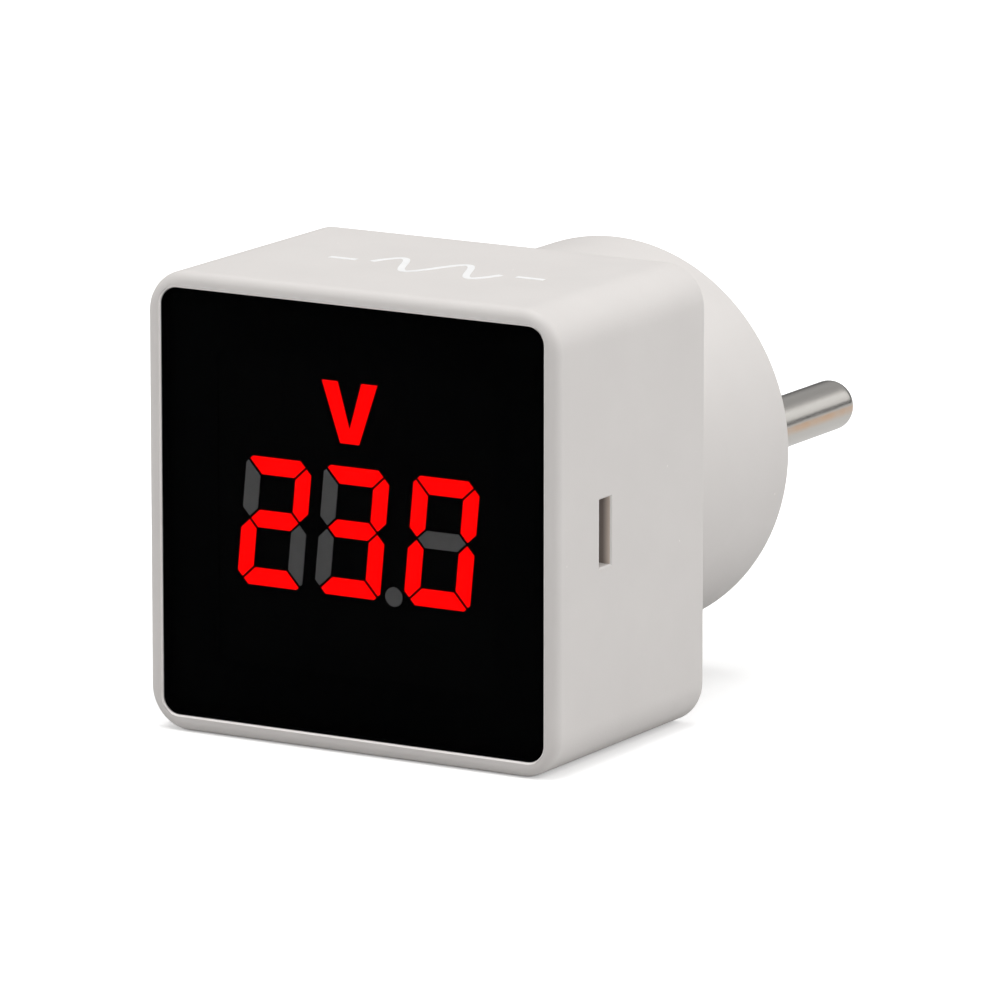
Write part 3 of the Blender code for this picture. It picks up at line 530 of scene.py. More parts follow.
def closing_arc(radius, steps):
    """The same quarter circle from its other end: (0, radius) first and (radius, 0) last."""
    return reversed(list(quarter_arc(radius, steps)))


def smoothed(mesh):
    """Smooth shading, but sharp where faces meet at a real edge."""
    mesh.shade_smooth()
    mesh.set_sharp_from_angle(angle=math.radians(32.0))
    return mesh


def linked(name, data):
    """A new object in the scene."""
    item = bpy.data.objects.new(name, data)
    bpy.context.scene.collection.objects.link(item)
    return item


def discard(*items):
    """Remove helping objects with their meshes."""
    for item in items:
        mesh = item.data
        bpy.data.objects.remove(item)
        bpy.data.meshes.remove(mesh)


def settled(item):
    """The plain mesh of an object with its modifiers applied."""
    depsgraph = bpy.context.evaluated_depsgraph_get()
    return smoothed(bpy.data.meshes.new_from_object(item.evaluated_get(depsgraph)))


def solid_mesh(name, shape):
    """Close a shape's seams, turn its faces out and make it a mesh."""
    bmesh.ops.remove_doubles(shape, verts=shape.verts, dist=1e-7)
    bmesh.ops.recalc_face_normals(shape, faces=shape.faces)
    mesh = bpy.data.meshes.new(name)
    shape.to_mesh(mesh)
    shape.free()
    return smoothed(mesh)


def place_piece(name, mesh, finishes, body=HOUSING, replaces=()):
    """Show a mesh as a piece that rides on a body and stands for working nodes."""
    mesh.name = name
    mesh.materials.clear()
    for finish in finishes:
        mesh.materials.append(FINISHES[finish])
    piece = linked(name, mesh)
    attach(piece, body)
    if replaces:
        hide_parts(*replaces)
    return piece


def carved(mesh, steps):
    """A mesh after a row of Boolean steps, each an operation and a shape."""
    target = linked("work", mesh)
    tools = [linked("tool", solid_mesh("tool", shape)) for _operation, shape in steps]
    for tool, (operation, _shape) in zip(tools, steps):
        cut = target.modifiers.new(operation, "BOOLEAN")
        cut.operation = operation
        cut.solver = "EXACT"
        cut.object = tool
    result = settled(target)
    discard(target, *tools)
    return result


def finish_node(node):
    """Give a working node that keeps its shape the finish of its slot."""
    mesh = frame["nodes"][node].data
    mesh.materials.clear()
    mesh.materials.append(FINISHES[SLOT_OF[node]])


# ---------------------------------------------------------------- case

def window_pocket(grown=0.0):
    """Half width and half height of the window's pocket."""
    return PANE_HIGH.x + POCKET_GAP + grown, PANE_HIGH.z + POCKET_GAP + grown


def case_shell():
    """The box as one lofted skin: outside, rear rim, inside, ledge, pocket and window lip."""
    case = bpy.context.scene.tester_case
    window = bpy.context.scene.tester_window
    rear = CASE_HIGH.y
    support = 0.3 * MM

    def outer(inset):
        return rounded_outline(CASE_HIGH.x - inset, CASE_HIGH.z - inset, case.corner - inset,
                               case.corner_steps)

    def pocket(grown):
        x, z = window_pocket(grown)
        return rounded_outline(x, z, window.corner + grown, case.corner_steps)

    rings = [(outer(case.fillet + 0.08 * MM), FRONT_Y)]
    rings += [(outer(inset), FRONT_Y + depth) for inset, depth in quarter_arc(case.fillet, 10)]
    rings += [(outer(0.0), FRONT_Y + case.fillet + support),
              (outer(0.0), rear - case.rear_edge - support)]
    rings += [(outer(inset), rear - depth) for inset, depth in closing_arc(case.rear_edge, 3)]
    inside = outer(case.wall)
    opening = rounded_outline(MODULE_HIGH.x + MODULE_GAP, MODULE_HIGH.z + MODULE_GAP, MODULE_CORNER,
                              case.corner_steps)
    floor = TAPE_REAR + 0.05 * MM
    rings += [(inside, rear), (inside, FRONT_Y + LEDGE_REAR), (opening, FRONT_Y + LEDGE_REAR),
              (opening, floor), (pocket(0.0), floor), (pocket(0.0), FRONT_Y + case.lip),
              (pocket(case.lip), FRONT_Y)]
    shape = bmesh.new()
    loft(shape, rings, closed=True)
    return solid_mesh("front_case", shape)


def latch_slots():
    """Cutters for the two latch slots, each with a small flared mouth."""
    shape = bmesh.new()
    flare = 0.12 * MM
    outside = CASE_HIGH.x
    inside = outside - bpy.context.scene.tester_case.wall - 0.5 * MM
    for _name, side in SIDES:
        rows = []
        for x, grown in ((inside, 0.0), (outside - flare, 0.0), (outside + flare, 2.0 * flare)):
            front = FRONT_Y + SLOT_FRONT - grown
            back = FRONT_Y + SLOT_REAR + grown
            high = SLOT_HALF + grown
            corners = ((front, -high), (back, -high), (back, high), (front, high))
            rows.append([shape.verts.new((side * x, y, z)) for y, z in corners])
        skin(shape, rows)
    return shape


def corner_posts(wall):
    """The four posts inside the long corners of the box."""
    shape = bmesh.new()
    front = FRONT_Y + LEDGE_REAR - BURIED
    back = CASE_HIGH.y - POST_SHORTFALL
    for sx in (-1, 1):
        for sz in (-1, 1):
            xs = sorted(sx * (CASE_HIGH.x - wall + d) for d in (-POST, BURIED))
            zs = sorted(sz * (CASE_HIGH.z - wall + d) for d in (-POST, BURIED))
            block(shape, (xs[0], front, zs[0]), (xs[1], back, zs[1]))
    return shape


def case_finish(face, lip):
    """The place of a face's finish: 0 the plastic, 1 the window lip's painted highlight, 2 the slot ends'
    painted shade.
    """
    away, here = face.normal, face.center
    slanted = 0.2 < abs(away.y) < 0.95
    inwards = away.x * here.x + away.z * here.z < 0.0
    past_pane = max(abs(here.x) - PANE_HIGH.x, abs(here.z) - PANE_HIGH.z)
    if slanted and inwards and here.y < FRONT_Y + lip and past_pane < 2.0 * lip + POCKET_GAP:
        return 1
    slack = 0.1 * MM
    in_slot = SLOT_FRONT - slack < here.y - FRONT_Y < SLOT_REAR + slack
    if in_slot and abs(here.z) < SLOT_HALF + slack and abs(away.y) > 0.9:
        return 2
    return 0


class TESTER_OT_case(Operator):
    """Build the moulded box with its window pocket, corner posts and latch slots"""
    bl_idname = "tester.case"
    bl_label = "Case"

    def execute(self, context):
        case = context.scene.tester_case
        steps = [("UNION", corner_posts(case.wall)), ("DIFFERENCE", latch_slots())]
        mesh = carved(case_shell(), steps)
        # The second finish paints a highlight on the window lip, and the third paints shade in the slot
        # ends.
        place_piece("case_shell", mesh, ["case_plastic", "lip_painted_highlight", "slot_painted_shade"],
                    replaces=["front_case"])
        for face in mesh.polygons:
            face.material_index = case_finish(face, case.lip)
        return {"FINISHED"}


class TESTER_OT_window(Operator):
    """Build the smoked pane and finish the tape frame behind it"""
    bl_idname = "tester.window"
    bl_label = "Window"

    def execute(self, context):
        window = context.scene.tester_window
        steps = context.scene.tester_case.corner_steps
        edge = 0.08 * MM
        rings = []
        for inset, depth in quarter_arc(edge, 3):
            half_x, half_z = window_pocket(-window.gap - inset)
            outline = rounded_outline(half_x, half_z, window.corner - window.gap - inset, steps)
            rings.append((outline, PANE_LOW.y + depth))
        rings.append((rings[-1][0], PANE_HIGH.y))
        shape = bmesh.new()
        loft(shape, rings)
        pane = solid_mesh("window_pane", shape)
        place_piece("window_pane", pane, ["window_tint", "window_ink"],
                    replaces=["display_window"])
        for face in pane.polygons:
            face.material_index = int(abs(face.normal.y) < 0.5)
        finish_node("window_tape")

        film = 0.03 * MM
        ink_front = PANE_HIGH.y + 0.01 * MM
        snug = 0.01 * MM
        outer = rounded_outline(*window_pocket(-snug), window.corner - snug, steps)
        inner = rounded_outline(MODULE_HIGH.x - MODULE_GAP, MODULE_HIGH.z - MODULE_GAP,
                                MODULE_CORNER, steps)
        border = bmesh.new()
        loft(border, [(outer, ink_front), (outer, ink_front + film), (inner, ink_front + film),
                      (inner, ink_front)], closed=True)
        place_piece("window_border", solid_mesh("window_border", border), ["window_ink"])
        return {"FINISHED"}


class TESTER_OT_display(Operator):
    """Finish the display housing and its lit and unlit diffusers"""
    bl_idname = "tester.display"
    bl_label = "Display"

    def execute(self, context):
        finish_node("display_housing")
        for node in frame["nodes"]:
            if node.startswith("segment_") or node in ("decimal_point", "volt_sign"):
                finish_node(node)
        return {"FINISHED"}


# ---------------------------------------------------------------- geometry nodes

class NodeRule:
    """A geometry node tree under construction, with named inputs and one material at its end."""

    def __init__(self, name):
        self.tree = bpy.data.node_groups.new(name, "GeometryNodeTree")
        self.tree.interface.new_socket("Geometry", in_out="OUTPUT", socket_type="NodeSocketGeometry")
        self.values = {}
        self.start = self.tree.nodes.new("NodeGroupInput")

    def number(self, name, value, kind="NodeSocketFloat"):
        """Add a named input with the value that the modifier will carry."""
        socket = self.tree.interface.new_socket(name, in_out="INPUT", socket_type=kind)
        self.values[socket.identifier] = value
        return self.start.outputs[name]

    def add(self, kind, feeds=(), **options):
        return add_node(self.tree, kind, feeds, **options)

    def maths(self, operation, *values):
        return reckoned(self.tree, operation, *values)

    def wave(self, angle):
        """The sine of an angle that grows evenly along a curve, from nothing to the whole angle."""
        along = self.add("GeometryNodeSplineParameter").outputs["Factor"]
        return self.maths("SINE", self.maths("MULTIPLY", along, angle))

    def swept(self, curve, outline):
        """A closed solid swept along a curve."""
        feeds = {"Curve": curve, "Profile Curve": outline, "Fill Caps": True}
        return self.add("GeometryNodeCurveToMesh", feeds).outputs[0]

    def finished_mesh(self, name, geometry, finish):
        """Realize, set the material, evaluate once, and return a plain mesh."""
        real = self.add("GeometryNodeRealizeInstances", {0: geometry})
        feeds = {0: real.outputs[0], "Material": FINISHES[finish]}
        coat = self.add("GeometryNodeSetMaterial", feeds)
        self.add("NodeGroupOutput", {0: coat.outputs[0]})
        holder = linked(name, bpy.data.meshes.new(name))
        rule = holder.modifiers.new(name, "NODES")
        rule.node_group = self.tree
        for identifier, value in self.values.items():
            rule[identifier] = value
        mesh = settled(holder)
        discard(holder)
        bpy.data.node_groups.remove(self.tree)
        return mesh


def current_sign(mark):
    """The alternating current sign: a sine wave between two short bars, as a thin film of ink."""
    rule = NodeRule("current_sign")
    wave = rule.number("Wave", mark.wave)
    swing = rule.number("Swing", mark.swing)
    bar = rule.number("Bar", mark.bar)
    stroke = rule.number("Stroke", mark.stroke)
    film = rule.number("Film", mark.film)
    turns = rule.number("Turns", mark.turns)

    def point(x, y=0.0):
        return rule.add("ShaderNodeCombineXYZ", {0: x, 1: y}).outputs[0]

    half = rule.maths("MULTIPLY", wave, 0.5)
    ends = {"Start": point(rule.maths("MULTIPLY", wave, -0.5)), "End": point(half)}
    line = rule.add("GeometryNodeCurvePrimitiveLine", ends)
    fine = rule.add("GeometryNodeResampleCurve", {"Curve": line.outputs[0], "Count": 96})
    lift = rule.maths("MULTIPLY", rule.wave(rule.maths("MULTIPLY", turns, TAU)), swing)
    bent = rule.add("GeometryNodeSetPosition", {"Geometry": fine.outputs[0], "Offset": point(0.0, lift)})
    joined = rule.add("GeometryNodeJoinGeometry", {0: bent.outputs[0]})
    inner = rule.maths("ADD", half, rule.maths("MULTIPLY", bar, 0.55))
    outer = rule.maths("ADD", inner, bar)
    for side in (-1.0, 1.0):
        start, end = (point(rule.maths("MULTIPLY", x, side)) for x in (inner, outer))
        dash = rule.add("GeometryNodeCurvePrimitiveLine", {"Start": start, "End": end})
        rule.tree.links.new(dash.outputs[0], joined.inputs[0])
    level = rule.add("GeometryNodeSetCurveNormal", {"Curve": joined.outputs[0]}, mode="Z_UP")
    nib = rule.add("GeometryNodeCurvePrimitiveQuadrilateral", {"Width": stroke, "Height": film})
    drawn = rule.swept(level.outputs[0], nib.outputs[0])
    return rule.finished_mesh("current_sign", drawn, "white_ink")


def repeated(name, seats, shape, finish):
    """Copies of one small shape, standing on seats given as (point, turn about each axis)."""
    rule = NodeRule(name)
    size = rule.number("Size", 1.0)
    pattern = linked(name + "_pattern", shape)
    cloud = bpy.data.meshes.new(name + "_seats")
    cloud.from_pydata([tuple(place) for place, _turn in seats], [], [])
    turns = cloud.attributes.new("turn", "FLOAT_VECTOR", "POINT")
    for item, (_place, turn) in zip(turns.data, seats):
        item.vector = turn
    holder = linked(name + "_seats", cloud)
    points = rule.add("GeometryNodeObjectInfo", {"Object": holder})
    copy = rule.add("GeometryNodeObjectInfo", {"Object": pattern, "As Instance": True})
    turn = rule.add("GeometryNodeInputNamedAttribute", {"Name": "turn"}, data_type="FLOAT_VECTOR")
    scale = rule.add("ShaderNodeCombineXYZ", {0: size, 1: size, 2: size})
    euler = rule.add("FunctionNodeEulerToRotation", {0: turn.outputs["Attribute"]})
    placed = rule.add("GeometryNodeInstanceOnPoints", {
        "Points": points.outputs["Geometry"], "Instance": copy.outputs["Geometry"],
        "Rotation": euler.outputs[0], "Scale": scale.outputs[0]})
    mesh = rule.finished_mesh(name, placed.outputs[0], finish)
    discard(pattern, holder)
    return mesh


class TESTER_OT_mark(Operator):
    """Print the alternating current sign on the top of the case"""
    bl_idname = "tester.mark"
    bl_label = "Printed sign"

    def execute(self, context):
        mark = context.scene.tester_mark
        mesh = current_sign(mark)
        x, y, _z = mark.centre
        mesh.transform(Matrix.Translation((x, y, CASE_HIGH.z + mark.film / 2.0)))
        place_piece("current_sign", mesh, ["white_ink"])
        return {"FINISHED"}


# ---------------------------------------------------------------- plug

def rear_plate_and_collar(plug):
    """The plate that closes the box, with the turned collar rising from it."""
    case = bpy.context.scene.tester_case
    gap = 0.1 * MM
    half_x = CASE_HIGH.x - case.wall - gap
    half_z = CASE_HIGH.z - case.wall - gap
    radius = case.corner - case.wall - gap
    plate_rear = CASE_HIGH.y - gap
    plate_front = plate_rear - PLATE_THICKNESS
    edge = 0.12 * MM
    rings = [(rounded_outline(half_x, half_z, radius, case.corner_steps), plate_front)]
    rings += [(rounded_outline(half_x - inset, half_z - inset, radius - inset, case.corner_steps),
               plate_rear - depth) for inset, depth in closing_arc(edge, 3)]
    plate = bmesh.new()
    loft(plate, rings)

    collar = bmesh.new()
    profile = [(COLLAR_RADIUS, plate_front + 0.6 * MM)]
    profile += [(COLLAR_RADIUS, plate_rear + 0.3 * MM), (COLLAR_RADIUS, -plug.edge - 0.4 * MM)]
    profile += [(COLLAR_RADIUS - inset, -depth) for inset, depth in closing_arc(plug.edge, 8)]
    profile.append((COLLAR_RADIUS - plug.edge - 0.3 * MM, 0.0))
    turned(collar, profile, 128)

    posts = bmesh.new()
    for sx in (-1, 1):
        for sz in (-1, 1):
            ends = [(BOARD_POST_RADIUS, BASE_FRONT), (BOARD_POST_RADIUS, plate_front + 0.5 * MM)]
            turned(posts, ends, 24, (sx * BOARD_POST_X, sz * BOARD_POST_Z))

    bore = bmesh.new()
    inner = COLLAR_RADIUS - COLLAR_WALL
    floor = -PLUG_FACE
    dome = [(inner - inset, floor - depth) for inset, depth in closing_arc(0.5 * MM, 4)]
    turned(bore, [(inner, plate_front - MM)] + dome, 96)

    cuts = bmesh.new()
    clear = PIN_RADIUS + PIN_CLEARANCE
    mouth = 0.14 * MM
    high = LATCH_HALF + 0.3 * MM
    for _name, side in SIDES:
        hole = [(clear, floor - MM), (clear, -mouth), (clear + 2.0 * mouth, mouth)]
        turned(cuts, hole, 48, (side * PIN_X, 0.0))
        xs = sorted((side * (LATCH_X - LATCH_ROOM), side * (half_x + MM)))
        block(cuts, (xs[0], plate_front - MM, -high), (xs[1], LATCH_Y + LATCH_ROOM, high))
    return carved(solid_mesh("plate", plate),
                  [("UNION", collar), ("UNION", posts), ("DIFFERENCE", bore), ("DIFFERENCE", cuts)])


class TESTER_OT_plug_base(Operator):
    """Build the rear plate and the round collar that fills the wall socket"""
    bl_idname = "tester.plug_base"
    bl_label = "Plug base"

    def execute(self, context):
        mesh = rear_plate_and_collar(context.scene.tester_plug)
        place_piece("plug_body", mesh, ["case_plastic"],
                    replaces=["plug_base"])
        return {"FINISHED"}


class TESTER_OT_pins(Operator):
    """Turn the two round pins with their flanges and rounded ends"""
    bl_idname = "tester.pins"
    bl_label = "Pins"

    def execute(self, context):
        tip = context.scene.tester_plug.tip
        floor = -PLUG_FACE - 0.3 * MM
        stub_end = PIN_LOW.y
        flange = 2.9 * MM
        stub = 1.4 * MM
        edge = 0.15 * MM
        profile = [(stub - 0.2 * MM, stub_end), (stub, stub_end + 0.2 * MM), (stub, floor - MM),
                   (flange - edge, floor - MM), (flange, floor - MM + edge), (flange, floor - edge),
                   (flange - edge, floor), (PIN_RADIUS, floor),
                   (PIN_RADIUS, PIN_HIGH.y - tip - 0.4 * MM)]
        profile += [(PIN_RADIUS - inset, PIN_HIGH.y - depth) for inset, depth in closing_arc(tip, 12)]
        for name, side in SIDES:
            shape = bmesh.new()
            turned(shape, profile, 64, (side * PIN_X, 0.0))
            node = "pin_" + name
            place_piece("plug_" + node, solid_mesh(node, shape), ["pin_nickel"],
                        replaces=[node])
        return {"FINISHED"}


class TESTER_OT_latches(Operator):
    """Build the two snap arms that hold the plug base in the box"""
    bl_idname = "tester.latches"
    bl_label = "Latches"

    def execute(self, context):
        for name, side in SIDES:
            node = "latch_" + name
            low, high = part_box(node)
            reach = max(abs(low.x), abs(high.x))
            outline = []
            root_steps = 16
            for i in range(root_steps + 1):
                angle = math.pi * i / root_steps
                outline.append((LATCH_X + LATCH_ARM * math.cos(angle),
                                LATCH_Y + LATCH_ARM * math.sin(angle)))
            outline += [(LATCH_X - LATCH_ARM, low.y), (LATCH_X + LATCH_ARM, low.y),
                        (reach, LATCH_CATCH_Y - 0.15 * MM), (reach, LATCH_CATCH_Y),
                        (LATCH_X + LATCH_ARM, LATCH_CATCH_Y)]
            shape = bmesh.new()
            edge = 0.12 * MM
            rows = []
            for z, inset in ((low.z, edge), (low.z + edge, 0.0), (high.z - edge, 0.0), (high.z, edge)):
                row = []
                for x, y in outline:
                    x -= math.copysign(inset, x - LATCH_X)
                    row.append(shape.verts.new((side * x, y, z)))
                rows.append(row)
            skin(shape, rows)
            place_piece("snap_" + node, solid_mesh(node, shape), ["case_plastic"], body=node,
                        replaces=[node])
        return {"FINISHED"}


# ---------------------------------------------------------------- inside

def chamfered_block(shape, low, high, edge):
    """A box whose two faces across Y are drawn in by an edge."""
    levels = ((edge, low[1]), (0.0, low[1] + edge), (0.0, high[1] - edge), (edge, high[1]))
    loft(shape, [(box_outline(low[0] + inset, high[0] - inset, low[2] + inset, high[2] - inset), y)
                 for inset, y in levels])


def node_piece(name, node, shape, finishes, pick=None):
    """Show a shape for one working node; pick gives a face's place in the row of finishes."""
    mesh = shape if isinstance(shape, bpy.types.Mesh) else solid_mesh(name, shape)
    place_piece(name, mesh, finishes, replaces=[node])
    if pick:
        for face in mesh.polygons:
            face.material_index = pick(face)
    return mesh


class TESTER_OT_boards(Operator):
    """Finish the two circuit boards, and build the pin header and the solder joints"""
    bl_idname = "tester.boards"
    bl_label = "Circuit boards"

    def execute(self, context):
        for node in ("display_board", "power_board"):
            finish_node(node)
        low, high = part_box("header_strip")
        pins = [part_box("header_pin_%d" % number) for number in range(1, 5)]
        pitch = pins[1][0].x - pins[0][0].x
        strip = bmesh.new()
        chamfered_block(strip, low, high, 0.15 * MM)
        cuts = bmesh.new()
        notch = 0.35 * MM
        for pin_low, pin_high in pins:
            middle = middle_of(pin_low, pin_high)
            half = (pin_high.x - pin_low.x) / 2.0 + 0.02 * MM
            block(cuts, (middle.x - half, low.y - MM, middle.z - half),
                  (middle.x + half, high.y + MM, middle.z + half))
            if middle.x < pins[3][0].x:
                x = middle.x + pitch / 2.0
                for z in (low.z, high.z):
                    block(cuts, (x - notch, low.y - MM, z - notch), (x + notch, high.y + MM, z + notch))
        mesh = carved(solid_mesh("header", strip), [("DIFFERENCE", cuts)])
        node_piece("header_block", "header_strip", mesh, ["chip_black"])

        pin_low, pin_high = pins[0]
        half = (pin_high.x - pin_low.x) / 2.0
        length = pin_high.y - pin_low.y
        taper = 0.35 * MM
        shape = bmesh.new()
        loft(shape, [(box_outline(-half * s, half * s, -half * s, half * s), y)
                     for s, y in ((0.5, 0.0), (1.0, taper), (1.0, length - taper), (0.5, length))])
        seats = [(((a.x + b.x) / 2.0, a.y, (a.z + b.z) / 2.0), (0.0, 0.0, 0.0)) for a, b in pins]
        posts = repeated("header_posts", seats, solid_mesh("post", shape), "contact_brass")
        place_piece("header_posts", posts, ["contact_brass"],
                    replaces=["header_pin_%d" % number for number in range(1, 5)])

        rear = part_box("power_board")[1].y
        dome = bmesh.new()
        turned(dome, [(0.75 * MM, 0.0), (0.68 * MM, 0.12 * MM), (0.48 * MM, 0.32 * MM),
                      (0.38 * MM, 0.6 * MM), (0.34 * MM, 0.75 * MM)], 20)
        seats = [((x, rear, z), (0.0, 0.0, 0.0)) for (x, _y, z), _turn in seats]
        seats += [((side * LEAD_END_X, rear, LEAD_Z), (0.0, 0.0, 0.0)) for _name, side in SIDES]
        joints = repeated("solder_joints", seats, solid_mesh("dome", dome), "solder")
        place_piece("solder_joints", joints, ["solder"])
        return {"FINISHED"}


def chip_body(node, leg_reach):
    """A moulded chip: a bevelled body with a dimple at its first leg."""
    low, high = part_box(node)
    low.z += leg_reach
    high.z -= leg_reach
    body = bmesh.new()
    chamfered_block(body, low, high, 0.18 * MM)
    face = high.y if node == "microcontroller" else low.y
    dimple = bmesh.new()
    centre = (low.x + 0.8 * MM, low.z + 0.8 * MM)
    turned(dimple, [(0.35 * MM, face - 0.12 * MM), (0.35 * MM, face + 0.12 * MM)], 20, centre)
    mesh = carved(solid_mesh(node, body), [("DIFFERENCE", dimple)])
    node_piece(node + "_body", node, mesh, ["chip_black"])
    return low, high


def leg_seats(low, high, count, foot_y, flipped):
    """Where the legs of a chip start along its two long sides, and how each is turned."""
    pitch = (high.x - low.x) / count
    seats = []
    for i in range(count):
        x = (low.x + high.x) / 2.0 + (i - (count - 1) / 2.0) * pitch
        seats.append(((x, foot_y, high.z), (0.0, 0.0, math.pi) if flipped else (0.0, 0.0, 0.0)))
        seats.append(((x, foot_y, low.z), (math.pi, 0.0, 0.0) if flipped else (0.0, math.pi, 0.0)))
    return seats


def chip_leg():
    """One leg of a chip, bent from the board up to the body. Its bends are in mm."""
    half = 0.2
    thick = 0.15
    shape = bmesh.new()
    rows = []
    for y, z in ((0.8, -0.1), (0.8, 0.3), (0.15, 0.45), (0.15, 0.85)):
        ring = ((-half, y, z), (half, y, z), (half, y - thick, z - thick / 2.0),
                (-half, y - thick, z - thick / 2.0))
        rows.append([shape.verts.new([v * MM for v in point]) for point in ring])
    skin(shape, rows)
    return solid_mesh("leg", shape)


def chips():
    """The microcontroller and the bridge rectifier, with all their legs as one piece."""
    reach = 0.9 * MM
    low, high = chip_body("microcontroller", reach)
    seats = leg_seats(low, high, 8, low.y, False)
    low, high = chip_body("bridge_rectifier", reach)
    seats += leg_seats(low, high, 2, high.y, True)
    place_piece("chip_legs", repeated("chip_legs", seats, chip_leg(), "solder"), ["solder"])


def divider_resistor(node):
    """A flat resistor, black between two soldered caps."""
    low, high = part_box(node)
    shape = bmesh.new()
    chamfered_block(shape, low, high, 0.06 * MM)
    cap = 0.45 * MM
    for x in (low.x + cap, high.x - cap):
        bmesh.ops.bisect_plane(shape, geom=[*shape.verts, *shape.edges, *shape.faces],
                               plane_co=(x, 0.0, 0.0), plane_no=(1.0, 0.0, 0.0))
    node_piece(node + "_chip", node, shape, ["chip_black", "solder"],
               lambda face: int(not low.x + cap < face.center.x < high.x - cap))


def film_capacitor():
    """The capacitor's box, with rounded edges all round."""
    low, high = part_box("film_capacitor")
    middle = middle_of(low, high)
    half = (high - low) / 2.0
    edge, corner = 0.5 * MM, 0.6 * MM
    levels = [(inset, low.y + depth) for inset, depth in quarter_arc(edge, 4)]
    levels += [(inset, high.y - depth) for inset, depth in closing_arc(edge, 4)]
    rings = []
    for inset, y in levels:
        outline = rounded_outline(half.x - inset, half.z - inset, corner, 6, 0.1 * MM)
        rings.append(([(middle.x + x, middle.z + z) for x, z in outline], y))
    shape = bmesh.new()
    loft(shape, rings)
    node_piece("film_capacitor_box", "film_capacitor", shape, ["film_yellow"])


def smoothing_capacitor():
    """The can in its printed sleeve, with the crimp near its foot and the vent's cross on top."""
    low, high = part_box("electrolytic_capacitor")
    radius = (high.x - low.x) / 2.0
    middle = middle_of(low, high)
    profile = [(radius - inset, low.y + depth) for inset, depth in quarter_arc(0.3 * MM, 4)]
    crimp = ((0.0, 1.1), (0.2, 1.35), (0.3, 1.6), (0.2, 1.85), (0.0, 2.1))
    profile += [(radius - inset * MM, low.y + y * MM) for inset, y in crimp]
    profile += [(radius - inset, high.y - depth) for inset, depth in closing_arc(0.35 * MM, 4)]
    profile += [(radius - 0.6 * MM, high.y), (radius - 0.7 * MM, high.y - 0.1 * MM)]
    shape = bmesh.new()
    turned(shape, profile, 48, (middle.x, middle.z))
    vents = []
    for x, z in ((0.1 * MM, radius * 0.7), (radius * 0.7, 0.1 * MM)):
        groove = bmesh.new()
        depth = 0.2 * MM
        block(groove, (middle.x - x, high.y - depth, middle.z - z),
              (middle.x + x, high.y + depth, middle.z + z))
        vents.append(("DIFFERENCE", groove))

    def finish(face):
        out = Vector((face.center.x - middle.x, face.center.z - middle.z))
        if out.length < radius - 0.65 * MM and face.center.y > high.y - 0.3 * MM:
            return 1
        return 2 if out.angle(Vector((1.0, 0.0)), 0.0) < 0.35 and out.length > radius * 0.8 else 0
    node_piece("smoothing_capacitor", "electrolytic_capacitor", carved(solid_mesh("can", shape), vents),
               ["sleeve_black", "screw_steel", "white_ink"], finish)


def surge_absorber():
    """The dipped disc on its two legs."""
    low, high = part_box("varistor")
    radius = (high.z - low.z) / 2.0
    width = high.x - low.x
    half = ((0.55, 0.0), (0.8, 0.08), (0.94, 0.2), (1.0, 0.4))
    profile = [(r * radius, y * width) for r, y in half]
    profile += [(r * radius, (1.0 - y) * width) for r, y in reversed(half)]
    disc = bmesh.new()
    turned(disc, profile, 40)
    turn = Matrix.Rotation(-math.pi / 2.0, 4, "Z")
    centre = Vector((low.x, high.y - radius, (low.z + high.z) / 2.0))
    bmesh.ops.transform(disc, matrix=Matrix.Translation(centre) @ turn, verts=disc.verts)
    legs = bmesh.new()
    thick, thin = 0.3 * MM, 0.15 * MM
    for side in (-1, 1):
        foot = ((low.x + high.x) / 2.0 + side * 0.5 * MM, centre.z + side * 2.0 * MM)
        turned(legs, [(thick, low.y), (thick, centre.y - 1.2 * MM), (thin, centre.y - 0.9 * MM)], 16,
               foot)
    mesh = carved(solid_mesh("disc", disc), [("UNION", legs)])
    leg_top = centre.y - radius + 0.05 * MM
    node_piece("surge_absorber", "varistor", mesh, ["disc_blue", "solder"],
               lambda face: int(face.center.y < leg_top))


def fusible_resistor():
    """The resistor's waisted body with its three colour bands, standing on one leg."""
    low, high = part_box("fuse_resistor")
    radius = (high.x - low.x) / 2.0
    middle = middle_of(low, high)
    # In mm: each band's start and end above the foot, with its finish, then (radius, height) points.
    bands = ((3.3, 3.8, 2), (4.2, 4.7, 3), (5.1, 5.6, 2))
    leg_top = 0.92
    outline = [(0.3, 0.0), (0.3, 0.9), (0.85, 1.0), (1.15, 1.12), (1.28, 1.35), (1.3, 1.6),
               (1.3, 2.3), (1.22, 2.7), (1.1, 2.9)]
    outline += [(1.1, y) for start, end, _finish in bands for y in (start, end)]
    outline += [(1.1, 6.0), (1.22, 6.3), (1.3, 6.7), (1.3, 7.3), (1.28, 7.6), (1.15, 7.85), (0.9, 8.0)]
    fullest = 1.3
    shape = bmesh.new()
    profile = [(r / fullest * radius, low.y + y * MM) for r, y in outline]
    turned(shape, profile, 32, (middle.x, middle.z))

    def finish(face):
        along = (face.center.y - low.y) / MM
        if along < leg_top:
            return 1
        return next((index for start, end, index in bands if start < along < end), 0)
    node_piece("fusible_resistor", "fuse_resistor", shape,
               ["resistor_green", "solder", "lead_brown", "film_yellow"], finish)


class TESTER_OT_board_parts(Operator):
    """Build the chips, capacitors, resistors and surge absorber that stand on the boards"""
    bl_idname = "tester.board_parts"
    bl_label = "Board parts"

    def execute(self, context):
        chips()
        for number in (1, 2):
            divider_resistor("divider_resistor_%d" % number)
        finish_node("regulator")
        film_capacitor()
        smoothing_capacitor()
        surge_absorber()
        fusible_resistor()
        return {"FINISHED"}


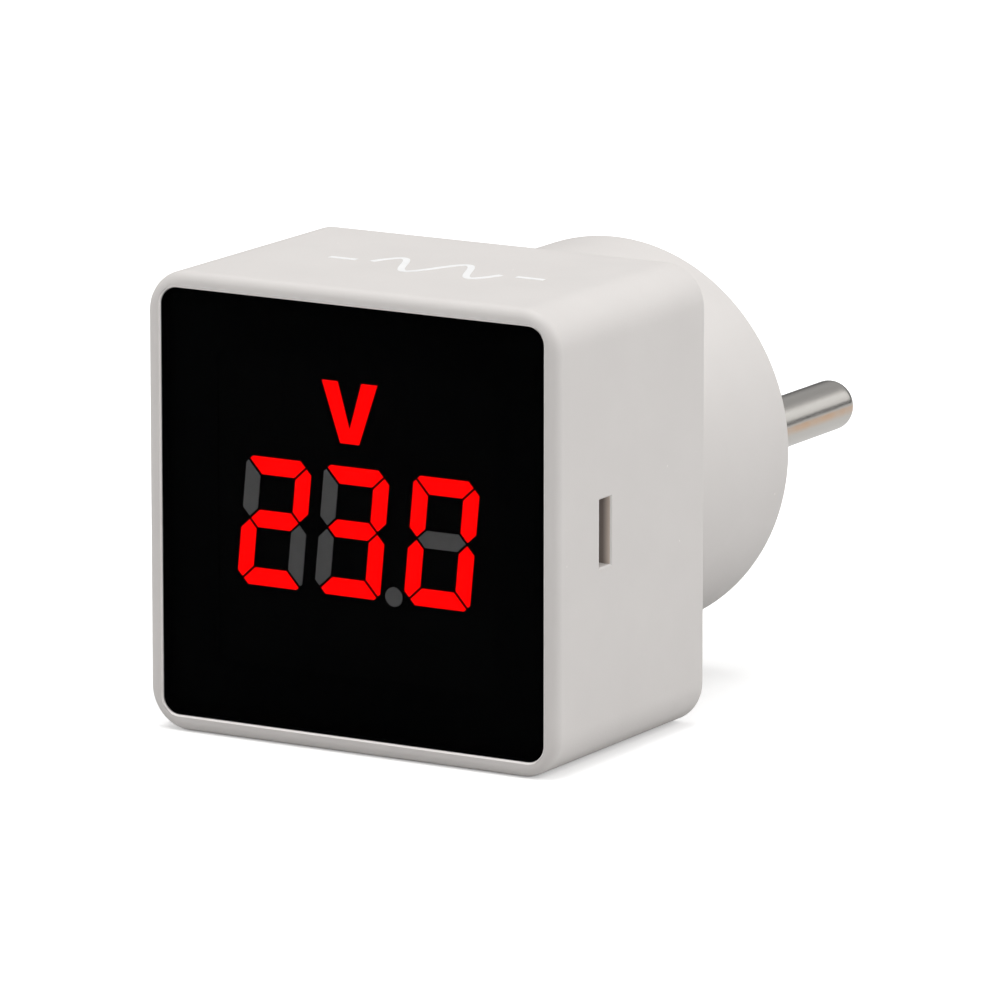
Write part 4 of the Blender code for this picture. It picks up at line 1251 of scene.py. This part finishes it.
class TESTER_OT_screws(Operator):
    """Build the six pan-head screws that hold the boards, all from one pattern"""
    bl_idname = "tester.screws"
    bl_label = "Screws"

    def execute(self, context):
        shape = bmesh.new()
        head = [(0.55, -1.0), (0.95, -0.95), (1.25, -0.8), (1.41, -0.55), (1.45, -0.3), (1.45, -0.08),
                (1.4, 0.0), (0.62, 0.0)]
        thread = []
        turn = 0.2
        while turn < 3.5:
            thread += [(0.55, turn), (0.7, turn + 0.2)]
            turn += 0.4
        tip = [(0.55, 3.7), (0.28, 4.2)]
        turned(shape, [(r * MM, y * MM) for r, y in head + thread + tip], 28)
        recess = []
        for arm_x, arm_z in ((0.8 * MM, 0.15 * MM), (0.15 * MM, 0.8 * MM)):
            slot = bmesh.new()
            block(slot, (-arm_x, -1.5 * MM, -arm_z), (arm_x, -0.55 * MM, arm_z))
            recess.append(("DIFFERENCE", slot))
        pattern = carved(solid_mesh("screw", shape), recess)
        seats = []
        nodes = [node for node in frame["nodes"] if "_screw_" in node]
        for node in nodes:
            low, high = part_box(node)
            middle = middle_of(low, high)
            if node.startswith("display"):
                seats.append(((middle.x, high.y - MM, middle.z), (math.pi, 0.0, 0.0)))
            else:
                seats.append(((middle.x, low.y + MM, middle.z), (0.0, 0.0, 0.0)))
        mesh = repeated("board_screws", seats, pattern, "screw_steel")
        place_piece("board_screws", mesh, ["screw_steel"], replaces=nodes)
        return {"FINISHED"}


def lead_tube(name, start, end, bow, radius):
    """One insulated lead, swept along a bowed path between its two ends."""
    rule = NodeRule(name)
    first = rule.number("Start", tuple(start), "NodeSocketVector")
    last = rule.number("End", tuple(end), "NodeSocketVector")
    sag = rule.number("Bow", bow)
    thick = rule.number("Radius", radius)
    line = rule.add("GeometryNodeCurvePrimitiveLine", {"Start": first, "End": last})
    fine = rule.add("GeometryNodeResampleCurve", {"Curve": line.outputs[0], "Count": 40})
    half_wave = rule.wave(math.pi)
    drop = rule.maths("MULTIPLY", rule.maths("MULTIPLY", half_wave, half_wave), sag)
    offset = rule.add("ShaderNodeCombineXYZ", {2: rule.maths("MULTIPLY", drop, -1.0)}).outputs[0]
    bent = rule.add("GeometryNodeSetPosition", {"Geometry": fine.outputs[0], "Offset": offset})
    ring = rule.add("GeometryNodeCurvePrimitiveCircle", {"Resolution": 24, "Radius": thick})
    return rule.finished_mesh(name, rule.swept(bent.outputs[0], ring.outputs[0]), name)


class TESTER_OT_wiring(Operator):
    """Sweep the two leads and finish the tags that join the pins to the power board"""
    bl_idname = "tester.wiring"
    bl_label = "Wiring"

    def execute(self, context):
        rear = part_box("power_board")[1].y + 0.3 * MM
        for (name, side), colour in zip(SIDES, ("lead_blue", "lead_brown")):
            finish_node("pin_tag_" + name)
            start = (side * PIN_X, LEAD_START_Y, LEAD_Z)
            end = (side * LEAD_END_X, rear, LEAD_Z)
            mesh = lead_tube(colour, start, end, LEAD_BOW, LEAD_RADIUS)
            place_piece("supply_lead_" + name, mesh, [colour],
                        replaces=["lead_" + name])
        return {"FINISHED"}


# ---------------------------------------------------------------- stage

def studio_world(stage):
    """A soft studio in three bands of height, with white behind the tester."""
    world = bpy.data.worlds.new("studio")
    bpy.context.scene.world = world
    world.use_nodes = True
    tree = world.node_tree
    tree.nodes.clear()
    place = add_node(tree, "ShaderNodeTexCoord").outputs["Generated"]
    height = add_node(tree, "ShaderNodeSeparateXYZ", {0: place}).outputs["Z"]
    ramp = add_node(tree, "ShaderNodeValToRGB", {"Fac": height})
    stops = ramp.color_ramp.elements
    bands = ((0.0, stage.horizon), (0.08, stage.horizon), (0.38, stage.middle),
             (0.5, stage.middle), (0.7, stage.zenith), (1.0, stage.zenith))
    while len(stops) < len(bands):
        stops.new(1.0)
    for stop, (height, grey) in zip(stops, bands):
        stop.position = height
        stop.color = (grey, grey, grey, 1.0)
    lighting = add_node(tree, "ShaderNodeBackground", {"Color": ramp.outputs["Color"]})
    backdrop = add_node(tree, "ShaderNodeBackground", {"Color": (1.0, 1.0, 1.0, 1.0)})
    seen = add_node(tree, "ShaderNodeLightPath").outputs["Is Camera Ray"]
    feeds = {0: seen, 1: lighting.outputs[0], 2: backdrop.outputs[0]}
    either = add_node(tree, "ShaderNodeMixShader", feeds)
    add_node(tree, "ShaderNodeOutputWorld", {"Surface": either.outputs[0]})


def floor_paper(stage):
    """Pale paper: white to look at, and a little greyer in what it throws back at the tester."""
    made = bpy.data.materials.new("floor_paper")
    made.use_nodes = True
    tree = made.node_tree
    tree.nodes.clear()
    seen = add_node(tree, "ShaderNodeLightPath").outputs["Is Camera Ray"]
    papers = []
    for factor in (stage.bounce, 1.0):
        colour = (*shade(tuple(stage.floor_colour), factor), 1.0)
        papers.append(add_node(tree, "ShaderNodeBsdfDiffuse", {"Color": colour}).outputs[0])
    either = add_node(tree, "ShaderNodeMixShader", {0: seen, 1: papers[0], 2: papers[1]})
    lift = add_node(tree, "ShaderNodeEmission", {"Color": seen, "Strength": stage.floor_lift})
    feeds = {0: either.outputs[0], 1: lift.outputs[0]}
    total = add_node(tree, "ShaderNodeAddShader", feeds)
    add_node(tree, "ShaderNodeOutputMaterial", {"Surface": total.outputs[0]})
    return made


SOFTBOXES = (
    ("overhead", (-0.05, -0.10, 0.75), 0.7, 4.25),
    ("front_left", (-0.60, -0.60, 0.30), 0.45, 1.55),
    ("right", (0.85, 0.05, 0.48), 0.85, 3.9),
    ("rear_right", (0.50, 0.60, 0.42), 0.7, 1.0),
)


def softbox(name, place, aim, size, power):
    """A square area light at a place, turned to an aim."""
    light = bpy.data.lights.new(name, "AREA")
    light.shape = "SQUARE"
    light.size = size
    light.energy = power
    item = linked(name, light)
    item.location = place
    item.rotation_euler = (Vector(aim) - Vector(place)).to_track_quat("-Z", "Y").to_euler()


class TESTER_OT_stage(Operator):
    """Set up the camera, the pale floor and the soft studio light"""
    bl_idname = "tester.stage"
    bl_label = "Stage"

    def execute(self, context):
        stage = context.scene.tester_stage
        aim = Vector(stage.aim)
        level = math.cos(stage.elevation)
        back = Vector((math.sin(stage.azimuth) * level, -math.cos(stage.azimuth) * level,
                       math.sin(stage.elevation)))
        lens = bpy.data.cameras.new("camera")
        lens.lens = stage.lens
        lens.sensor_width = 36.0
        camera = linked("camera", lens)
        camera.location = aim + back * stage.distance
        camera.rotation_euler = (-back).to_track_quat("-Z", "Y").to_euler()
        context.scene.camera = camera
        context.scene.view_settings.view_transform = "Standard"

        half = stage.floor_size
        ground_z = CASE_LOW.z - 0.02 * MM
        floor = bpy.data.meshes.new("floor")
        corners = [(x * half, y * half, ground_z) for x, y in ((-1, -1), (1, -1), (1, 1), (-1, 1))]
        floor.from_pydata(corners, [], [(0, 1, 2, 3)])
        floor.materials.append(floor_paper(stage))
        ground = linked("floor", floor)

        studio_world(stage)
        for name, place, size, power in SOFTBOXES:
            softbox(name, place, CAD_MIDDLE, size, power)
        return {"FINISHED"}


# ---------------------------------------------------------------- panel and registration

STEPS = ("stage", "case", "window", "display", "mark", "plug_base", "pins", "latches", "boards",
         "board_parts", "screws", "wiring")


class VIEW3D_PT_tester(Panel):
    """Lists the steps that build the tester"""
    bl_label = "Voltage tester"
    bl_idname = "VIEW3D_PT_tester"
    bl_space_type = "VIEW_3D"
    bl_region_type = "UI"
    bl_category = "Tester"

    def draw(self, context):
        column = self.layout.column(align=True)
        for step in STEPS:
            column.operator("tester." + step)


CLASSES = (
    *SETTINGS.values(), TESTER_OT_stage, TESTER_OT_case, TESTER_OT_window, TESTER_OT_display,
    TESTER_OT_mark, TESTER_OT_plug_base, TESTER_OT_pins, TESTER_OT_latches, TESTER_OT_boards,
    TESTER_OT_board_parts, TESTER_OT_screws, TESTER_OT_wiring, VIEW3D_PT_tester,
)


def register():
    for item in CLASSES:
        bpy.utils.register_class(item)
    for name, kind in SETTINGS.items():
        setattr(bpy.types.Scene, name, PointerProperty(type=kind))


def unregister():
    for name in SETTINGS:
        delattr(bpy.types.Scene, name)
    for item in reversed(CLASSES):
        bpy.utils.unregister_class(item)


def main():
    """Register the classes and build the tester."""
    register()
    mix_finishes()
    for step in STEPS:
        getattr(bpy.ops.tester, step)()


if __name__ == "__main__":
    main()
